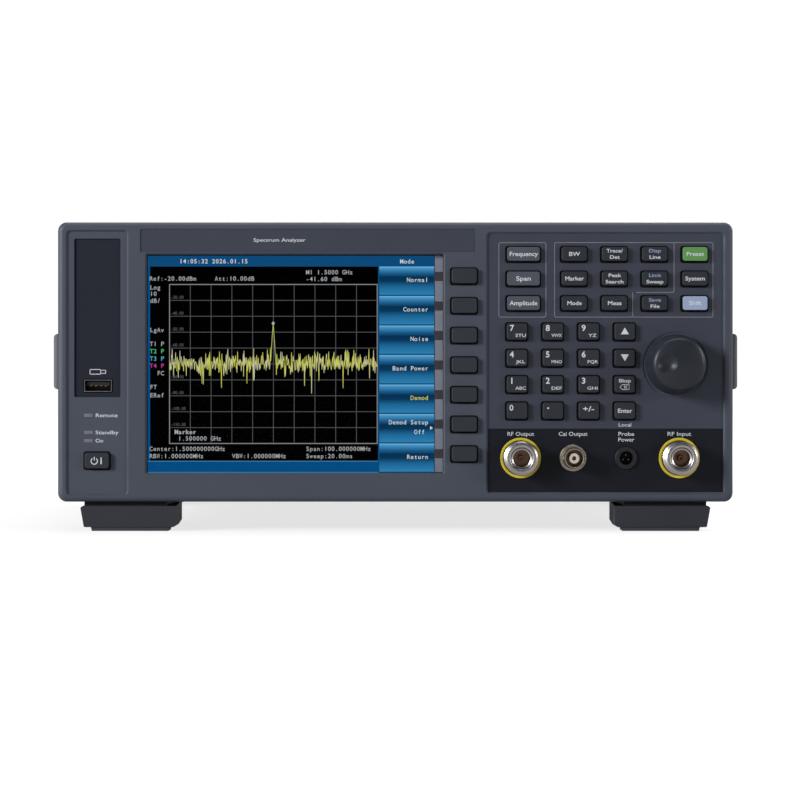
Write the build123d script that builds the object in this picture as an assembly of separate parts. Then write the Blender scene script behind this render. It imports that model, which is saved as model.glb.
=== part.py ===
"""Bench spectrum analyzer: a half-rack-wide instrument with a moulded front bezel, a folded sheet case,
strap handles on both sides, bench feet with wire tilt stands, and its electronics on an inner tray.

Millimetres. X runs to the right seen from the front, Y runs from the front panel to the rear, Z is up.
The origin is the centre of the footprint, on the surface that the feet stand on.
"""

import math
import os

from build123d import *

# ---------------------------------------------------------------- driving dimensions
BODY_W, BODY_H = 320.0, 132.5        # outline of the front bezel
LENGTH = 400.0                       # knob face to the ends of the rear feet
FOOT_H = 13.8                        # underside of the body above the bench
FACE = -182.0                        # y of the bezel's foremost plane
Z0 = FOOT_H                          # z of the body's underside
TOP = Z0 + BODY_H

BEZEL_DEPTH = 32.0
BEZEL_CORNER = 4.1
BEZEL_EDGE = 2.9                     # rounding of the rim's front edge
SKIN = 3.5                           # bezel face thickness
WALL = 3.0                           # bezel side walls
BAY_DEPTH = 1.0                      # how far the two side bays lie below the display's plateau
PANEL_BACK = FACE + SKIN
BAY = FACE + BAY_DEPTH               # y of the bays' floor

LEFT_BAY = (-155.1, -127.2, 3.9, 127.9)      # x0, x1, height0, height1 above the body's underside
KEY_BAY = (43.9, 155.2, 4.6, 126.9)
NAMEPLATE = (-120.8, 37.7, 118.3, 129.2)
WINDOW = (-117.8, 22.8, 13.6, 117.2)
PORT_INSERT = (-152.1, -130.2, 49.6, 124.7)  # dark recess above the status lamps
JACK_PLATE = (43.9, 155.2, 4.6, 34.7)        # dark plate behind the coaxial jacks

KEY_GAP = 0.45                       # clearance between a key and its cut-out
KEY_RISE = 2.4                       # key face above its panel
KEY_CORNER = 1.3
KEY_TRAVEL = 1.0
KEY_FLANGE = 1.1                     # retaining lip beyond the key's outline, on every side
FLANGE_T = 0.8
REST_GAP = 0.15                      # key lip behind the panel, with the key out
STEM = 3.0
STEM_L = 2.0
BOARD_FRONT = PANEL_BACK + REST_GAP + FLANGE_T + STEM_L + KEY_TRAVEL + 0.4
BOARD_T = 1.6

SOFTKEY = (12.0, 7.2)
SOFTKEY_X, SOFTKEY_TOP, SOFTKEY_PITCH, SOFTKEYS = 32.6, 106.9, 14.02, 7
MAIN_KEY = (15.6, 6.8)
MAIN_X = 60.6
FUNCTION_KEY = (12.0, 6.8)
FUNCTION_X, FUNCTION_PITCH = 84.6, 19.03
FUNCTION_TOP, FUNCTION_ROW = 117.3, 11.62
NUMBER_KEY = (9.8, 7.9)
NUMBER_X, NUMBER_PITCH = 57.55, 16.97
NUMBER_TOP, NUMBER_ROW = 80.6, 12.47
POWER_KEY = (11.6, 7.6)
POWER_AT = (-141.1, 19.6)

MAIN_NAMES = ("frequency", "span", "amplitude")
FUNCTION_NAMES = (
    ("bandwidth", "trace", "display", "preset"),
    ("marker", "peak", "sweep", "system"),
    ("mode", "measure", "file", "shift"),
)
NUMBER_NAMES = (
    ("7", "8", "9", "up"),
    ("4", "5", "6", "down"),
    ("1", "2", "3", "backspace"),
    ("0", "point", "sign", "enter"),
)

KNOB_AT = (132.6, 65.0)
KNOB_R, KNOB_FACE_R = 14.3, 12.35
KNOB_RECESS_R = 15.5
KNOB_FRONT = -LENGTH / 2
KNOB_BACK = BAY - 0.7
DIMPLE_R, DIMPLE_OFFSET, DIMPLE_DEPTH = 4.8, 6.3, 1.9
SHAFT_R = 2.5
BUSHING_R = 3.6
RUNNING = 0.05                       # radial clearance of a shaft in its bush

JACK_H = 20.8                        # height of the jacks' axes above the body's underside
TYPE_N_X = (59.3, 134.4)
TYPE_N_R, TYPE_N_BORE, TYPE_N_REACH = 7.94, 4.05, 11.5
TYPE_N_RELIEF_R, TYPE_N_THREAD = 7.4, 10.2
RING_R, RING_T = 9.85, 1.3
BNC_R, BNC_BORE, BNC_REACH, BNC_FLANGE_R = 4.85, 4.07, 11.0, 6.35
FRONT_BNC_X = 84.1
PROBE_X, PROBE_R, PROBE_BORE = 109.3, 5.4, 3.3
USB_AT = (-140.9, 55.0)
LAMP_X, LAMPS_H, LAMP = -145.4, (41.0, 32.9, 29.0), (4.2, 1.7)

SLEEVE_SIDE = 158.0                  # half width of the sheet case
SLEEVE_INSET = 2.0
SHEET = 1.2
SLEEVE_BACK = 172.0
REAR = 182.0                         # rearmost plane of the rear panel's rim
REAR_PLATE = 178.5                   # inner face of the rear plate
REAR_PLATE_T = 1.5
VENT_SLOTS, VENT_PITCH, VENT_W, VENT_L = 16, 6.5, 2.6, 18.0
VENT_START = 24.0

FAN_AT, FAN_SIZE, FAN_DEPTH, FAN_R = (-104.0, 92.0), 60.0, 25.0, 28.5
INLET_AT = (-113.0, 30.0)
ROCKER_AT = (-84.0, 30.0)
ROCKER_PIVOT_Y = 177.5
ROCKER_TILT = 10.0
REAR_BNC_X, REAR_BNC_H = (10.0, 34.0, 58.0), 104.0
LAN_AT, USB_B_AT, VGA_AT = (14.0, 32.0), (40.0, 32.0), (76.0, 32.0)

FOOT_X = 126.6                      # middle of the wire stand
FOOT_INNER, FOOT_OUTER = 104.0, 149.2
FOOT_GAP = 2.0                      # between a foot's shoulder and the body's underside
FOOT_NARROWING = 4.0
FRONT_FOOT = (-181.0, -104.0)       # y of its front and rear
REAR_FOOT_INNER = 126.4
REAR_BENCH_FOOT = (97.0, 163.0)
PAD_T = 1.8
WIRE_R = 1.5
WIRE_SPAN, WIRE_LENGTH = 15.0, 34.0
WIRE_PIVOT = (-152.0, 5.0)           # y, z

STRAP_H = 67.0                       # height of the strap's middle above the body's underside
STRAP_W, CAP_W = 24.0, 27.0
CAP_OUT = 8.8                        # cap's thickness
CAPS_Y = ((-148.0, -108.0), (130.0, 170.0))
STRAP_ENDS = (-136.0, 158.0)

TRAY_Z, TRAY_T = Z0 + 6.0, 1.2
TRAY_SIDE = 154.5
PARTITION_X = -12.0
SUPPLY_Z = TRAY_Z + 8.0
RECEIVER_Z, RECEIVER_H = TRAY_Z + 5.0, 35.0
MAIN_BOARD_Z = Z0 + 72.0
SCREW_R, HEAD_R, HEAD_T = 1.9, 3.4, 2.0
SCREW_HOLE_R = SCREW_R + 0.15
FAN_SCREWS = 25.0                    # half the spacing of the fan's screws
REAR_FOOT, REAR_FOOT_X, REAR_FOOT_INSET = 22.0, 143.5, 16.5


# ---------------------------------------------------------------- helpers
def prism(sketch, front, back):
    """A sketch drawn in X and Z, run from y = front to y = back."""
    return extrude(Plane.XZ.offset(-back) * sketch, amount=back - front, dir=(0, -1, 0))


def plate(x0, x1, z0, z1, front, back, corner=0.0):
    """A block between two y planes, its four long edges rounded."""
    outline = RectangleRounded(x1 - x0, z1 - z0, corner) if corner else Rectangle(x1 - x0, z1 - z0)
    return prism(Pos((x0 + x1) / 2, (z0 + z1) / 2) * outline, front, back)


def panel_area(area, front, back, corner=0.0, grow=0.0):
    """A block over an area given as x0, x1 and two heights above the body's underside."""
    x0, x1, h0, h1 = area
    return plate(x0 - grow, x1 + grow, Z0 + h0 - grow, Z0 + h1 + grow, front, back, corner)


def block(x0, x1, y0, y1, z0, z1):
    return Pos((x0 + x1) / 2, (y0 + y1) / 2, (z0 + z1) / 2) * Box(x1 - x0, y1 - y0, z1 - z0)


def rod_y(x, z, radius, front, back):
    return prism(Pos(x, z) * Circle(radius), front, back)


def rod_x(x0, x1, y, z, radius):
    return Pos((x0 + x1) / 2, y, z) * Rot(0, 90, 0) * Cylinder(radius, x1 - x0)


def rod_z(x, y, z0, z1, radius):
    return Pos(x, y, (z0 + z1) / 2) * Cylinder(radius, z1 - z0)


def soften(shape, axis, radius):
    """Rounds the edges of the face furthest along an axis."""
    return fillet(shape.faces().sort_by(axis)[-1].edges(), radius)


def save(node, *solids):
    """Writes a node as one solid, or as a group of separate solids."""
    flat = [s for item in solids for s in item.solids()]
    shape = flat[0] if len(flat) == 1 else Compound(children=flat)
    export_step(shape, f"parts/{node}.step")


BACKWARD, FORWARD = Axis.Y, Axis((0, 0, 0), (0, -1, 0))


# ---------------------------------------------------------------- where the keys are
def key_table():
    """Every key as name, x, height, (width, height of its face), and the y of its panel."""
    keys = []
    for i in range(SOFTKEYS):
        keys.append((f"softkey_{i + 1}", SOFTKEY_X, SOFTKEY_TOP - i * SOFTKEY_PITCH, SOFTKEY, FACE))
    for row, name in enumerate(MAIN_NAMES):
        keys.append((f"key_{name}", MAIN_X, FUNCTION_TOP - row * FUNCTION_ROW, MAIN_KEY, BAY))
    for row, names in enumerate(FUNCTION_NAMES):
        for column, name in enumerate(names):
            x = FUNCTION_X + column * FUNCTION_PITCH
            keys.append((f"key_{name}", x, FUNCTION_TOP - row * FUNCTION_ROW, FUNCTION_KEY, BAY))
    for row, names in enumerate(NUMBER_NAMES):
        for column, name in enumerate(names):
            x = NUMBER_X + column * NUMBER_PITCH
            keys.append((f"key_{name}", x, NUMBER_TOP - row * NUMBER_ROW, NUMBER_KEY, BAY))
    keys.append(("key_power", *POWER_AT, POWER_KEY, BAY))
    return keys


# ---------------------------------------------------------------- front
def front_bezel():
    """The moulded front: a shallow tub with a raised display area, two bays and all the cut-outs."""
    half = BODY_W / 2
    tub = plate(-half, half, Z0, TOP, FACE, FACE + BEZEL_DEPTH, BEZEL_CORNER)
    tub = soften(tub, FORWARD, BEZEL_EDGE)
    inner = (-half + WALL, half - WALL, Z0 + WALL, TOP - WALL)
    tub -= plate(*inner, PANEL_BACK, FACE + BEZEL_DEPTH + 1, BEZEL_CORNER - WALL + 0.5)
    for bay in (LEFT_BAY, KEY_BAY):
        tub -= sloped_pocket(bay, BAY_DEPTH, 1.4, 0.9)
    tub -= panel_area(NAMEPLATE, FACE - 1, FACE + 0.35, 0.8)
    tub -= panel_area(WINDOW, FACE - 1, PANEL_BACK + 1, 0.6)
    tub -= sloped_pocket(WINDOW, 0.7, 0.6, 0.7)
    tub -= panel_area(PORT_INSERT, FACE - 1, BAY + 0.8, 0.8)
    tub -= panel_area(JACK_PLATE, FACE - 1, BAY + 0.3)
    for _, x, height, (w, h), _ in key_table():
        tub -= prism(Pos(x, Z0 + height) * RectangleRounded(w + 2 * KEY_GAP, h + 2 * KEY_GAP, KEY_CORNER),
                     FACE - 1, PANEL_BACK + 1)
    tub -= rod_y(KNOB_AT[0], Z0 + KNOB_AT[1], BUSHING_R + 0.4, FACE - 1, PANEL_BACK + 1)
    tub -= rod_y(KNOB_AT[0], Z0 + KNOB_AT[1], KNOB_RECESS_R, FACE - 1, BAY + 0.5)
    for x in TYPE_N_X:
        tub -= rod_y(x, Z0 + JACK_H, TYPE_N_RELIEF_R + 0.2, FACE - 1, PANEL_BACK + 1)
    tub -= rod_y(FRONT_BNC_X, Z0 + JACK_H, BNC_R + 0.2, FACE - 1, PANEL_BACK + 1)
    tub -= rod_y(PROBE_X, Z0 + JACK_H, PROBE_R + 0.15, FACE - 1, PANEL_BACK + 1)
    tub -= prism(Pos(USB_AT[0], Z0 + USB_AT[1]) * RectangleRounded(14.0, 6.6, 0.8), FACE - 1, PANEL_BACK + 1)
    for height in LAMPS_H:
        tub -= prism(Pos(LAMP_X, Z0 + height) * Rectangle(LAMP[0] + 0.2, LAMP[1] + 0.2), FACE - 1, PANEL_BACK + 1)
    return tub


def sloped_pocket(area, depth, corner, spread):
    """A pocket cutter whose walls lean outwards by spread over its depth."""
    x0, x1, h0, h1 = area
    floor = Pos((x0 + x1) / 2, Z0 + (h0 + h1) / 2) * RectangleRounded(x1 - x0, h1 - h0, corner)
    lean = math.degrees(math.atan2(spread, depth))
    return extrude(Plane.XZ.offset(-(FACE + depth)) * floor, amount=depth + 0.01, taper=-lean)


def key(x, height, size, panel):
    """A hard key cap: its face, the lip that holds it behind the panel, and the stem on the switch."""
    w, h = size
    z = Z0 + height
    lip = PANEL_BACK + REST_GAP
    cap = prism(Pos(x, z) * RectangleRounded(w, h, KEY_CORNER), panel - KEY_RISE, lip + 0.1)
    cap = soften(cap, FORWARD, 0.5)
    outline = Rectangle(w + 2 * KEY_FLANGE, h + 2 * KEY_FLANGE)
    cap += prism(Pos(x, z) * outline, lip, lip + FLANGE_T)
    cap += prism(Pos(x, z) * Rectangle(STEM, STEM), lip + FLANGE_T - 0.1, lip + FLANGE_T + STEM_L)
    return cap


def knob():
    """The tuning knob: a dished skirt, a domed face with a finger dimple, and the shaft it turns on."""
    x, z = KNOB_AT[0], Z0 + KNOB_AT[1]
    depth = KNOB_BACK - KNOB_FRONT
    shoulder = KNOB_FACE_R - 1.55
    with BuildSketch(Plane.XY) as half_section:
        with BuildLine():
            Line((0, 0), (KNOB_R, 0))
            Line((KNOB_R, 0), (KNOB_R, 2.6))
            Line((KNOB_R, 2.6), (KNOB_FACE_R, depth - 3.5))
            ThreePointArc((KNOB_FACE_R, depth - 3.5), (KNOB_FACE_R - 0.5, depth - 2.3), (shoulder, depth - 1.6))
            ThreePointArc((shoulder, depth - 1.6), (shoulder / 2, depth - 0.4), (0, depth))
            Line((0, depth), (0, 0))
        make_face()
    cap = revolve(half_section.sketch, Axis.Y)
    dimple_ball = (DIMPLE_R**2 + DIMPLE_DEPTH**2) / (2 * DIMPLE_DEPTH)
    cap -= Pos(-DIMPLE_OFFSET, depth - 0.5 - DIMPLE_DEPTH + dimple_ball, 0) * Sphere(dimple_ball)
    cap -= Pos(0, 2.2, 0) * Rot(90, 0, 0) * Cylinder(6.5, 4.5)
    cap -= Pos(0, 5.5, 0) * Rot(90, 0, 0) * Cylinder(SHAFT_R, 13.0)
    cap = Pos(x, KNOB_BACK, z) * Rot(180, 0, 0) * cap
    shaft = rod_y(x, z, SHAFT_R, KNOB_BACK - 12.0, BOARD_FRONT - 3.0)
    return cap, shaft


def display():
    """Clear window, liquid-crystal panel, its metal frame and the backlight tray."""
    x0, x1, h0, h1 = WINDOW
    window = panel_area(WINDOW, FACE + 1.2, FACE + 2.7, 0.5, -0.15)
    glass = plate(x0 - 5, x1 + 1.2, Z0 + h0 - 5, Z0 + h1 + 5, PANEL_BACK + 0.3, PANEL_BACK + 2.8, 0.5)
    frame = plate(x0 - 7, x1 + 2.0, Z0 + h0 - 7, Z0 + h1 + 7, PANEL_BACK + 2.8, PANEL_BACK + 5.0, 1.0)
    tray = plate(x0 - 5, x1 + 1.2, Z0 + h0 - 5, Z0 + h1 + 5, PANEL_BACK + 5.0, PANEL_BACK + 12.0, 1.0)
    return window, glass, frame, tray


def circuit_boards():
    """Key board with its switch domes and encoder, the side board with the lamps, and the processor board."""
    back = BOARD_FRONT + BOARD_T
    keys = plate(26.2, 154.5, Z0 + 37.0, Z0 + 126.0, BOARD_FRONT, back)
    keys += plate(26.2, 41.0, Z0 + 14.0, Z0 + 37.0, BOARD_FRONT, back)
    side = plate(-153.5, -129.6, Z0 + 10.0, Z0 + 66.0, BOARD_FRONT, back)
    side -= plate(USB_AT[0] - 7.2, USB_AT[0] + 7.2, Z0 + 50.8, Z0 + 58.6, BOARD_FRONT - 1, back + 1)
    for _, x, height, _, _ in key_table():
        dome = rod_y(x, Z0 + height, 2.3, BOARD_FRONT - 0.3, BOARD_FRONT + 0.2)
        if x > 0:
            keys += dome
        else:
            side += dome
    x, z = KNOB_AT[0], Z0 + KNOB_AT[1]
    encoder = plate(x - 6.3, x + 6.3, z - 6.3, z + 6.3, PANEL_BACK + 0.2, BOARD_FRONT, 0.5)
    encoder += rod_y(x, z, BUSHING_R, BAY - 1.8, PANEL_BACK + 0.3)
    encoder -= rod_y(x, z, SHAFT_R + RUNNING, BAY - 3, BOARD_FRONT - 2.5)
    lamps = [plate(LAMP_X - LAMP[0] / 2, LAMP_X + LAMP[0] / 2, Z0 + h - LAMP[1] / 2, Z0 + h + LAMP[1] / 2,
                   BAY - 0.1, BOARD_FRONT) for h in LAMPS_H]
    return keys, side, encoder, *lamps, *processor_board()


def processor_board():
    """The processor board on four posts over the receiver housing, with its chips and screening cans."""
    top = MAIN_BOARD_Z + BOARD_T
    main = block(14, 148, -118, 146, MAIN_BOARD_Z, top)
    for x in (22, 140):
        for y in (-98, 54):
            main += rod_z(x, y, RECEIVER_Z + RECEIVER_H, MAIN_BOARD_Z + 0.5, 3)
    chips = [block(x - s / 2, x + s / 2, y - s / 2, y + s / 2, top, top + 2.4)
             for x, y, s in ((46, -70, 27), (92, -78, 20), (126, -60, 14), (60, 10, 31), (112, 20, 18))]
    cans = [block(x - w / 2, x + w / 2, y - d / 2, y + d / 2, top, top + 9)
            for x, y, w, d in ((54, 92, 60, 44), (118, 96, 36, 50))]
    return main, *chips, *cans


def type_n_jack(x):
    """A threaded coaxial jack: barrel, bored mouth, and the square body behind the panel."""
    z = Z0 + JACK_H
    mouth = BAY - TYPE_N_REACH
    barrel = rod_y(x, z, TYPE_N_R, mouth, mouth + TYPE_N_THREAD)
    barrel = chamfer(barrel.faces().sort_by(FORWARD)[-1].edges(), 0.6)
    barrel += rod_y(x, z, TYPE_N_RELIEF_R, mouth + TYPE_N_THREAD - 0.1, PANEL_BACK + 4)
    barrel += plate(x - 10.5, x + 10.5, z - 10.5, z + 10.5, PANEL_BACK, PANEL_BACK + 3.0, 1.5)
    barrel += rod_y(x, z, 5.2, PANEL_BACK + 3.5, PANEL_BACK + 14)
    barrel -= rod_y(x, z, TYPE_N_BORE, mouth - 1, mouth + 9.2)
    ring = rod_y(x, z, RING_R, BAY + 0.3 - RING_T, BAY + 0.3)
    ring -= rod_y(x, z, TYPE_N_RELIEF_R + 0.1, BAY - 3, BAY + 2)
    ring = fillet(ring.faces().sort_by(FORWARD)[-1].edges(), 0.35)
    return barrel, ring


def bnc_jack(x, z, seat, out):
    """A bayonet jack on a panel whose outer surface is y = seat. out is -1 to face forwards, 1 to face back."""
    def along(radius, start, end):
        a, b = sorted((seat + out * start, seat + out * end))
        return rod_y(x, z, radius, a, b)

    jack = along(BNC_R, -6, BNC_REACH)
    jack += along(BNC_FLANGE_R, 0, 1.4)
    jack += along(4.0, -13, -5)
    for side in (-1, 1):
        jack += Pos(x + side * 4.95, seat + out * 8.2, z) * Rot(0, 90, 0) * Cylinder(1.0, 1.2)
    jack -= along(BNC_BORE, BNC_REACH - 8.8, BNC_REACH + 1)
    return jack


def coaxial_jacks():
    parts = []
    for x in TYPE_N_X:
        parts.extend(type_n_jack(x))
    parts.append(bnc_jack(FRONT_BNC_X, Z0 + JACK_H, BAY + 0.3, -1))
    for x in REAR_BNC_X:
        parts.append(bnc_jack(x, Z0 + REAR_BNC_H, REAR_PLATE + REAR_PLATE_T, 1))
    return parts


def probe_socket():
    """Round supply socket for an active probe."""
    z = Z0 + JACK_H
    body = rod_y(PROBE_X, z, PROBE_R, BAY - 0.9, PANEL_BACK + 11)
    body = fillet(body.faces().sort_by(FORWARD)[-1].edges(), 0.5)
    body += rod_y(PROBE_X, z, PROBE_R + 1.4, PANEL_BACK, PANEL_BACK + 1.6)
    return body - rod_y(PROBE_X, z, PROBE_BORE, BAY - 3, BAY + 7.1)


def usb_a_socket():
    """Shell of the front memory port, open to the front."""
    x, z = USB_AT[0], Z0 + USB_AT[1]
    front = BAY + 0.4
    shell = plate(x - 6.55, x + 6.55, z - 2.85, z + 2.85, front, front + 14, 0.4)
    return shell - plate(x - 6.2, x + 6.2, z - 2.5, z + 2.5, front - 1, front + 12)


def rear_sockets():
    """Network, data and monitor connectors on the rear plate."""
    seat = REAR_PLATE + REAR_PLATE_T
    x, h = LAN_AT
    lan = plate(x - 8, x + 8, Z0 + h - 6.8, Z0 + h + 6.8, REAR_PLATE - 17, seat + 0.6)
    lan -= plate(x - 5.9, x + 5.9, Z0 + h - 3.6, Z0 + h + 4.4, REAR_PLATE - 11, seat + 1)
    lan -= plate(x - 3.1, x + 3.1, Z0 + h - 5.6, Z0 + h - 3.0, REAR_PLATE - 11, seat + 1)
    x, h = USB_B_AT
    usb_b = plate(x - 6, x + 6, Z0 + h - 5.4, Z0 + h + 5.4, REAR_PLATE - 15, seat + 0.6)
    usb_b -= plate(x - 4.3, x + 4.3, Z0 + h - 3.9, Z0 + h + 3.9, REAR_PLATE - 8.5, seat + 1)
    x, h = VGA_AT
    outline = Pos(x, Z0 + h) * Trapezoid(17.2, 8.4, 80, rotation=180)
    vga = prism(outline, REAR_PLATE - 9, seat + 5.5)
    vga += plate(x - 15.4, x + 15.4, Z0 + h - 6.2, Z0 + h + 6.2, seat, seat + 0.9, 1.2)
    posts = [prism(Pos(x + s * 12.5, Z0 + h) * RegularPolygon(2.6, 6), seat + 0.9, seat + 5.4)
             - rod_y(x + s * 12.5, Z0 + h, 1.3, seat + 2, seat + 6) for s in (-1, 1)]
    return lan, usb_b, vga, *posts


def mains_inlet():
    """Cold-appliance inlet with its rim and mouth."""
    x, z = INLET_AT[0], Z0 + INLET_AT[1]
    seat = REAR_PLATE + REAR_PLATE_T
    rim = prism(Pos(x, z) * chamfer(Rectangle(31, 24).vertices(), 2.5), seat, seat + 1.8)
    body = rim + plate(x - 13.6, x + 13.6, z - 9.9, z + 9.9, REAR_PLATE - 17, seat + 0.5)
    mouth = Polygon((-12, -8.25), (12, -8.25), (12, 4.6), (8.4, 8.25), (-8.4, 8.25), (-12, 4.6), align=None)
    return body - prism(Pos(x, z) * mouth, seat + 1.8 - 15.5, seat + 3)


def rocker_housing():
    """The mains switch's shell, open to the rear, with a round socket for each trunnion."""
    x, z = ROCKER_AT[0], Z0 + ROCKER_AT[1]
    seat = REAR_PLATE + REAR_PLATE_T
    shell = plate(x - 7.2, x + 7.2, z - 10.7, z + 10.7, REAR_PLATE - 14, seat + 0.5)
    shell += plate(x - 8.2, x + 8.2, z - 11.9, z + 11.9, seat, seat + 1.5, 1.0)
    shell -= plate(x - 5.6, x + 5.6, z - 8.9, z + 8.9, ROCKER_PIVOT_Y - 5.5, seat + 2)
    return shell - rod_x(x - 6.7, x + 6.7, ROCKER_PIVOT_Y, z, 1.2 + RUNNING)


def power_rocker():
    """The switch's rocker, at rest with its upper end pressed in."""
    x, z = ROCKER_AT[0], Z0 + ROCKER_AT[1]
    profile = Polygon((-2.5, -5.5), (5.6, -7.6), (4.2, 0), (5.6, 7.6), (-2.5, 5.5), align=None)
    body = extrude(Plane.YZ.offset(-5.3) * profile, amount=10.6)
    body += rod_x(-6.5, 6.5, 0, 0, 1.2)
    return Pos(x, ROCKER_PIVOT_Y, z) * Rot(ROCKER_TILT, 0, 0) * body


# ---------------------------------------------------------------- case
def case_sleeve():
    """One folded sheet round the instrument, with two rows of cooling slots on each side."""
    z0, z1 = Z0 + SLEEVE_INSET, TOP - SLEEVE_INSET
    front = FACE + BEZEL_DEPTH
    tube = plate(-SLEEVE_SIDE, SLEEVE_SIDE, z0, z1, front, SLEEVE_BACK, 4.0)
    tube -= plate(-SLEEVE_SIDE + SHEET, SLEEVE_SIDE - SHEET, z0 + SHEET, z1 - SHEET, front - 1, SLEEVE_BACK + 1, 2.8)
    slots = []
    for row_z in (Z0 + 32.0, Z0 + 103.0):
        for i in range(VENT_SLOTS):
            slot = Pos(VENT_START + i * VENT_PITCH, row_z) * SlotOverall(VENT_L, VENT_W, rotation=90)
            slots.append(extrude(Plane.YZ.offset(-SLEEVE_SIDE - 1) * slot, amount=2 * SLEEVE_SIDE + 2))
    tube -= slots
    for side in (-1, 1):
        for y in cap_screw_y():
            tube -= rod_x(side * SLEEVE_SIDE - 3, side * SLEEVE_SIDE + 3, y, Z0 + STRAP_H, SCREW_HOLE_R)
    return tube


def rear_panel():
    """Rear rim and plate, with the fan grille and the connector cut-outs."""
    half = SLEEVE_SIDE + 1.0
    z0, z1 = Z0 + 1.0, TOP - 1.0
    rim = plate(-half, half, z0, z1, SLEEVE_BACK, REAR, 4.5)
    rim = soften(rim, BACKWARD, 1.2)
    rim -= plate(-half + 4, half - 4, z0 + 4, z1 - 4, REAR_PLATE + REAR_PLATE_T, REAR + 1, 2.0)
    rim -= plate(-half + 4, half - 4, z0 + 4, z1 - 4, SLEEVE_BACK - 1, REAR_PLATE, 2.0)
    cut = (SLEEVE_BACK, REAR + 1)
    x, z = FAN_AT[0], Z0 + FAN_AT[1]
    for k in range(-4, 5):
        length = 2 * math.sqrt(27.0**2 - (6.0 * k) ** 2)
        rim -= prism(Pos(x, z + 6.0 * k) * SlotOverall(length, 3.4), *cut)
    for bx in REAR_BNC_X:
        rim -= rod_y(bx, Z0 + REAR_BNC_H, BNC_R + 0.2, *cut)
    x, h = INLET_AT
    rim -= plate(x - 13.9, x + 13.9, Z0 + h - 10.2, Z0 + h + 10.2, *cut)
    x, h = ROCKER_AT
    rim -= plate(x - 7.5, x + 7.5, Z0 + h - 11.0, Z0 + h + 11.0, *cut)
    x, h = LAN_AT
    rim -= plate(x - 8.3, x + 8.3, Z0 + h - 7.1, Z0 + h + 7.1, *cut)
    x, h = USB_B_AT
    rim -= plate(x - 6.3, x + 6.3, Z0 + h - 5.7, Z0 + h + 5.7, *cut)
    x, h = VGA_AT
    rim -= plate(x - 9.2, x + 9.2, Z0 + h - 4.8, Z0 + h + 4.8, *cut)
    for x, z in tray_screws() + fan_screws() + rear_foot_places():
        rim -= rod_y(x, z, SCREW_HOLE_R, *cut)
    return rim


def chassis():
    """Folded tray with a partition, a front bracket that carries the display, posts and screw tabs."""
    front, back = FACE + BEZEL_DEPTH - 12, REAR_PLATE - 0.3
    bracket = front + 19
    tray = block(-TRAY_SIDE, TRAY_SIDE, front, back, TRAY_Z, TRAY_Z + TRAY_T)
    tray += block(-TRAY_SIDE, -TRAY_SIDE + TRAY_T, front, back, TRAY_Z, TRAY_Z + 40)
    tray += block(TRAY_SIDE - TRAY_T, TRAY_SIDE, front, back, TRAY_Z, TRAY_Z + 40)
    tray += block(PARTITION_X, PARTITION_X + TRAY_T, bracket, back, TRAY_Z, TRAY_Z + 98)
    tray += block(-TRAY_SIDE, TRAY_SIDE, bracket, bracket + TRAY_T, TRAY_Z, TRAY_Z + 104)
    tray -= block(28, 150, bracket - 5, bracket + 5, Z0 + 9, Z0 + 36)
    for x in (-140, -36):
        for y in (16, 134):
            tray += rod_z(x, y, TRAY_Z + 0.5, SUPPLY_Z, 3)
    for x in (22, 140):
        for y in (-96, 52):
            tray += rod_z(x, y, TRAY_Z + 0.5, RECEIVER_Z, 3)
    for x, z in tray_screws():
        tab = block(x - 6, x + 6, back - 1.6, back, TRAY_Z, z + 6)
        tray += tab - rod_y(x, z, SCREW_HOLE_R, back - 3, back + 1)
    return tray


# ---------------------------------------------------------------- inside
def fan_frame():
    """Square fan housing with its motor seat on four arms."""
    x, z = FAN_AT[0], Z0 + FAN_AT[1]
    front, back = REAR_PLATE - FAN_DEPTH, REAR_PLATE
    half = FAN_SIZE / 2
    frame = plate(x - half, x + half, z - half, z + half, front, back, 3.0)
    frame -= rod_y(x, z, FAN_R, front - 1, back + 1)
    frame += rod_y(x, z, 13.0, front, front + 2.5)
    for turn in range(4):
        arm = prism(Pos(x, z) * Rot(0, 0, 45 + 90 * turn) * Pos(21, 0) * Rectangle(18, 3), front, front + 2.5)
        frame += arm
    frame += rod_y(x, z, 2.5, front, front + 6)
    for sx, sz in fan_screws():
        frame -= rod_y(sx, sz, SCREW_HOLE_R, front - 1, back + 1)
    return frame


def fan_rotor():
    """Hub and seven pitched blades on the motor seat's post."""
    x, z = FAN_AT[0], Z0 + FAN_AT[1]
    front, back = REAR_PLATE - FAN_DEPTH + 3.2, REAR_PLATE - 2.0
    hub = rod_y(0, 0, 12.6, front, back)
    middle = (front + back) / 2
    for i in range(7):
        blade = Pos(0, middle, 0) * Rot(0, i * 360 / 7, 0) * Pos(19.2, 0, 0) * Rot(38, 0, 0) * Box(15.4, 1.4, 17)
        hub += blade
    hub -= rod_y(0, 0, 2.5 + RUNNING, front - 1, front + 3.2)
    return Pos(x, 0, z) * hub


def power_supply():
    """Supply board with transformer, heat sink, chokes and capacitors."""
    top = SUPPLY_Z + BOARD_T
    board = block(-146, -30, 10, 140, SUPPLY_Z, top)
    transformer = block(-100, -66, 60, 96, top, top + 30)
    sink = block(-58, -54, 20, 120, top, top + 38)
    for i in range(9):
        sink += block(-54.2, -44, 24 + i * 11, 26 + i * 11, top, top + 38)
    cans = [rod_z(x, y, top, top + 26, 9) for x, y in ((-130, 40), (-130, 66), (-108, 36))]
    choke = rod_z(-128, 112, top, top + 18, 13)
    return board, transformer, sink, *cans, choke


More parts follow.
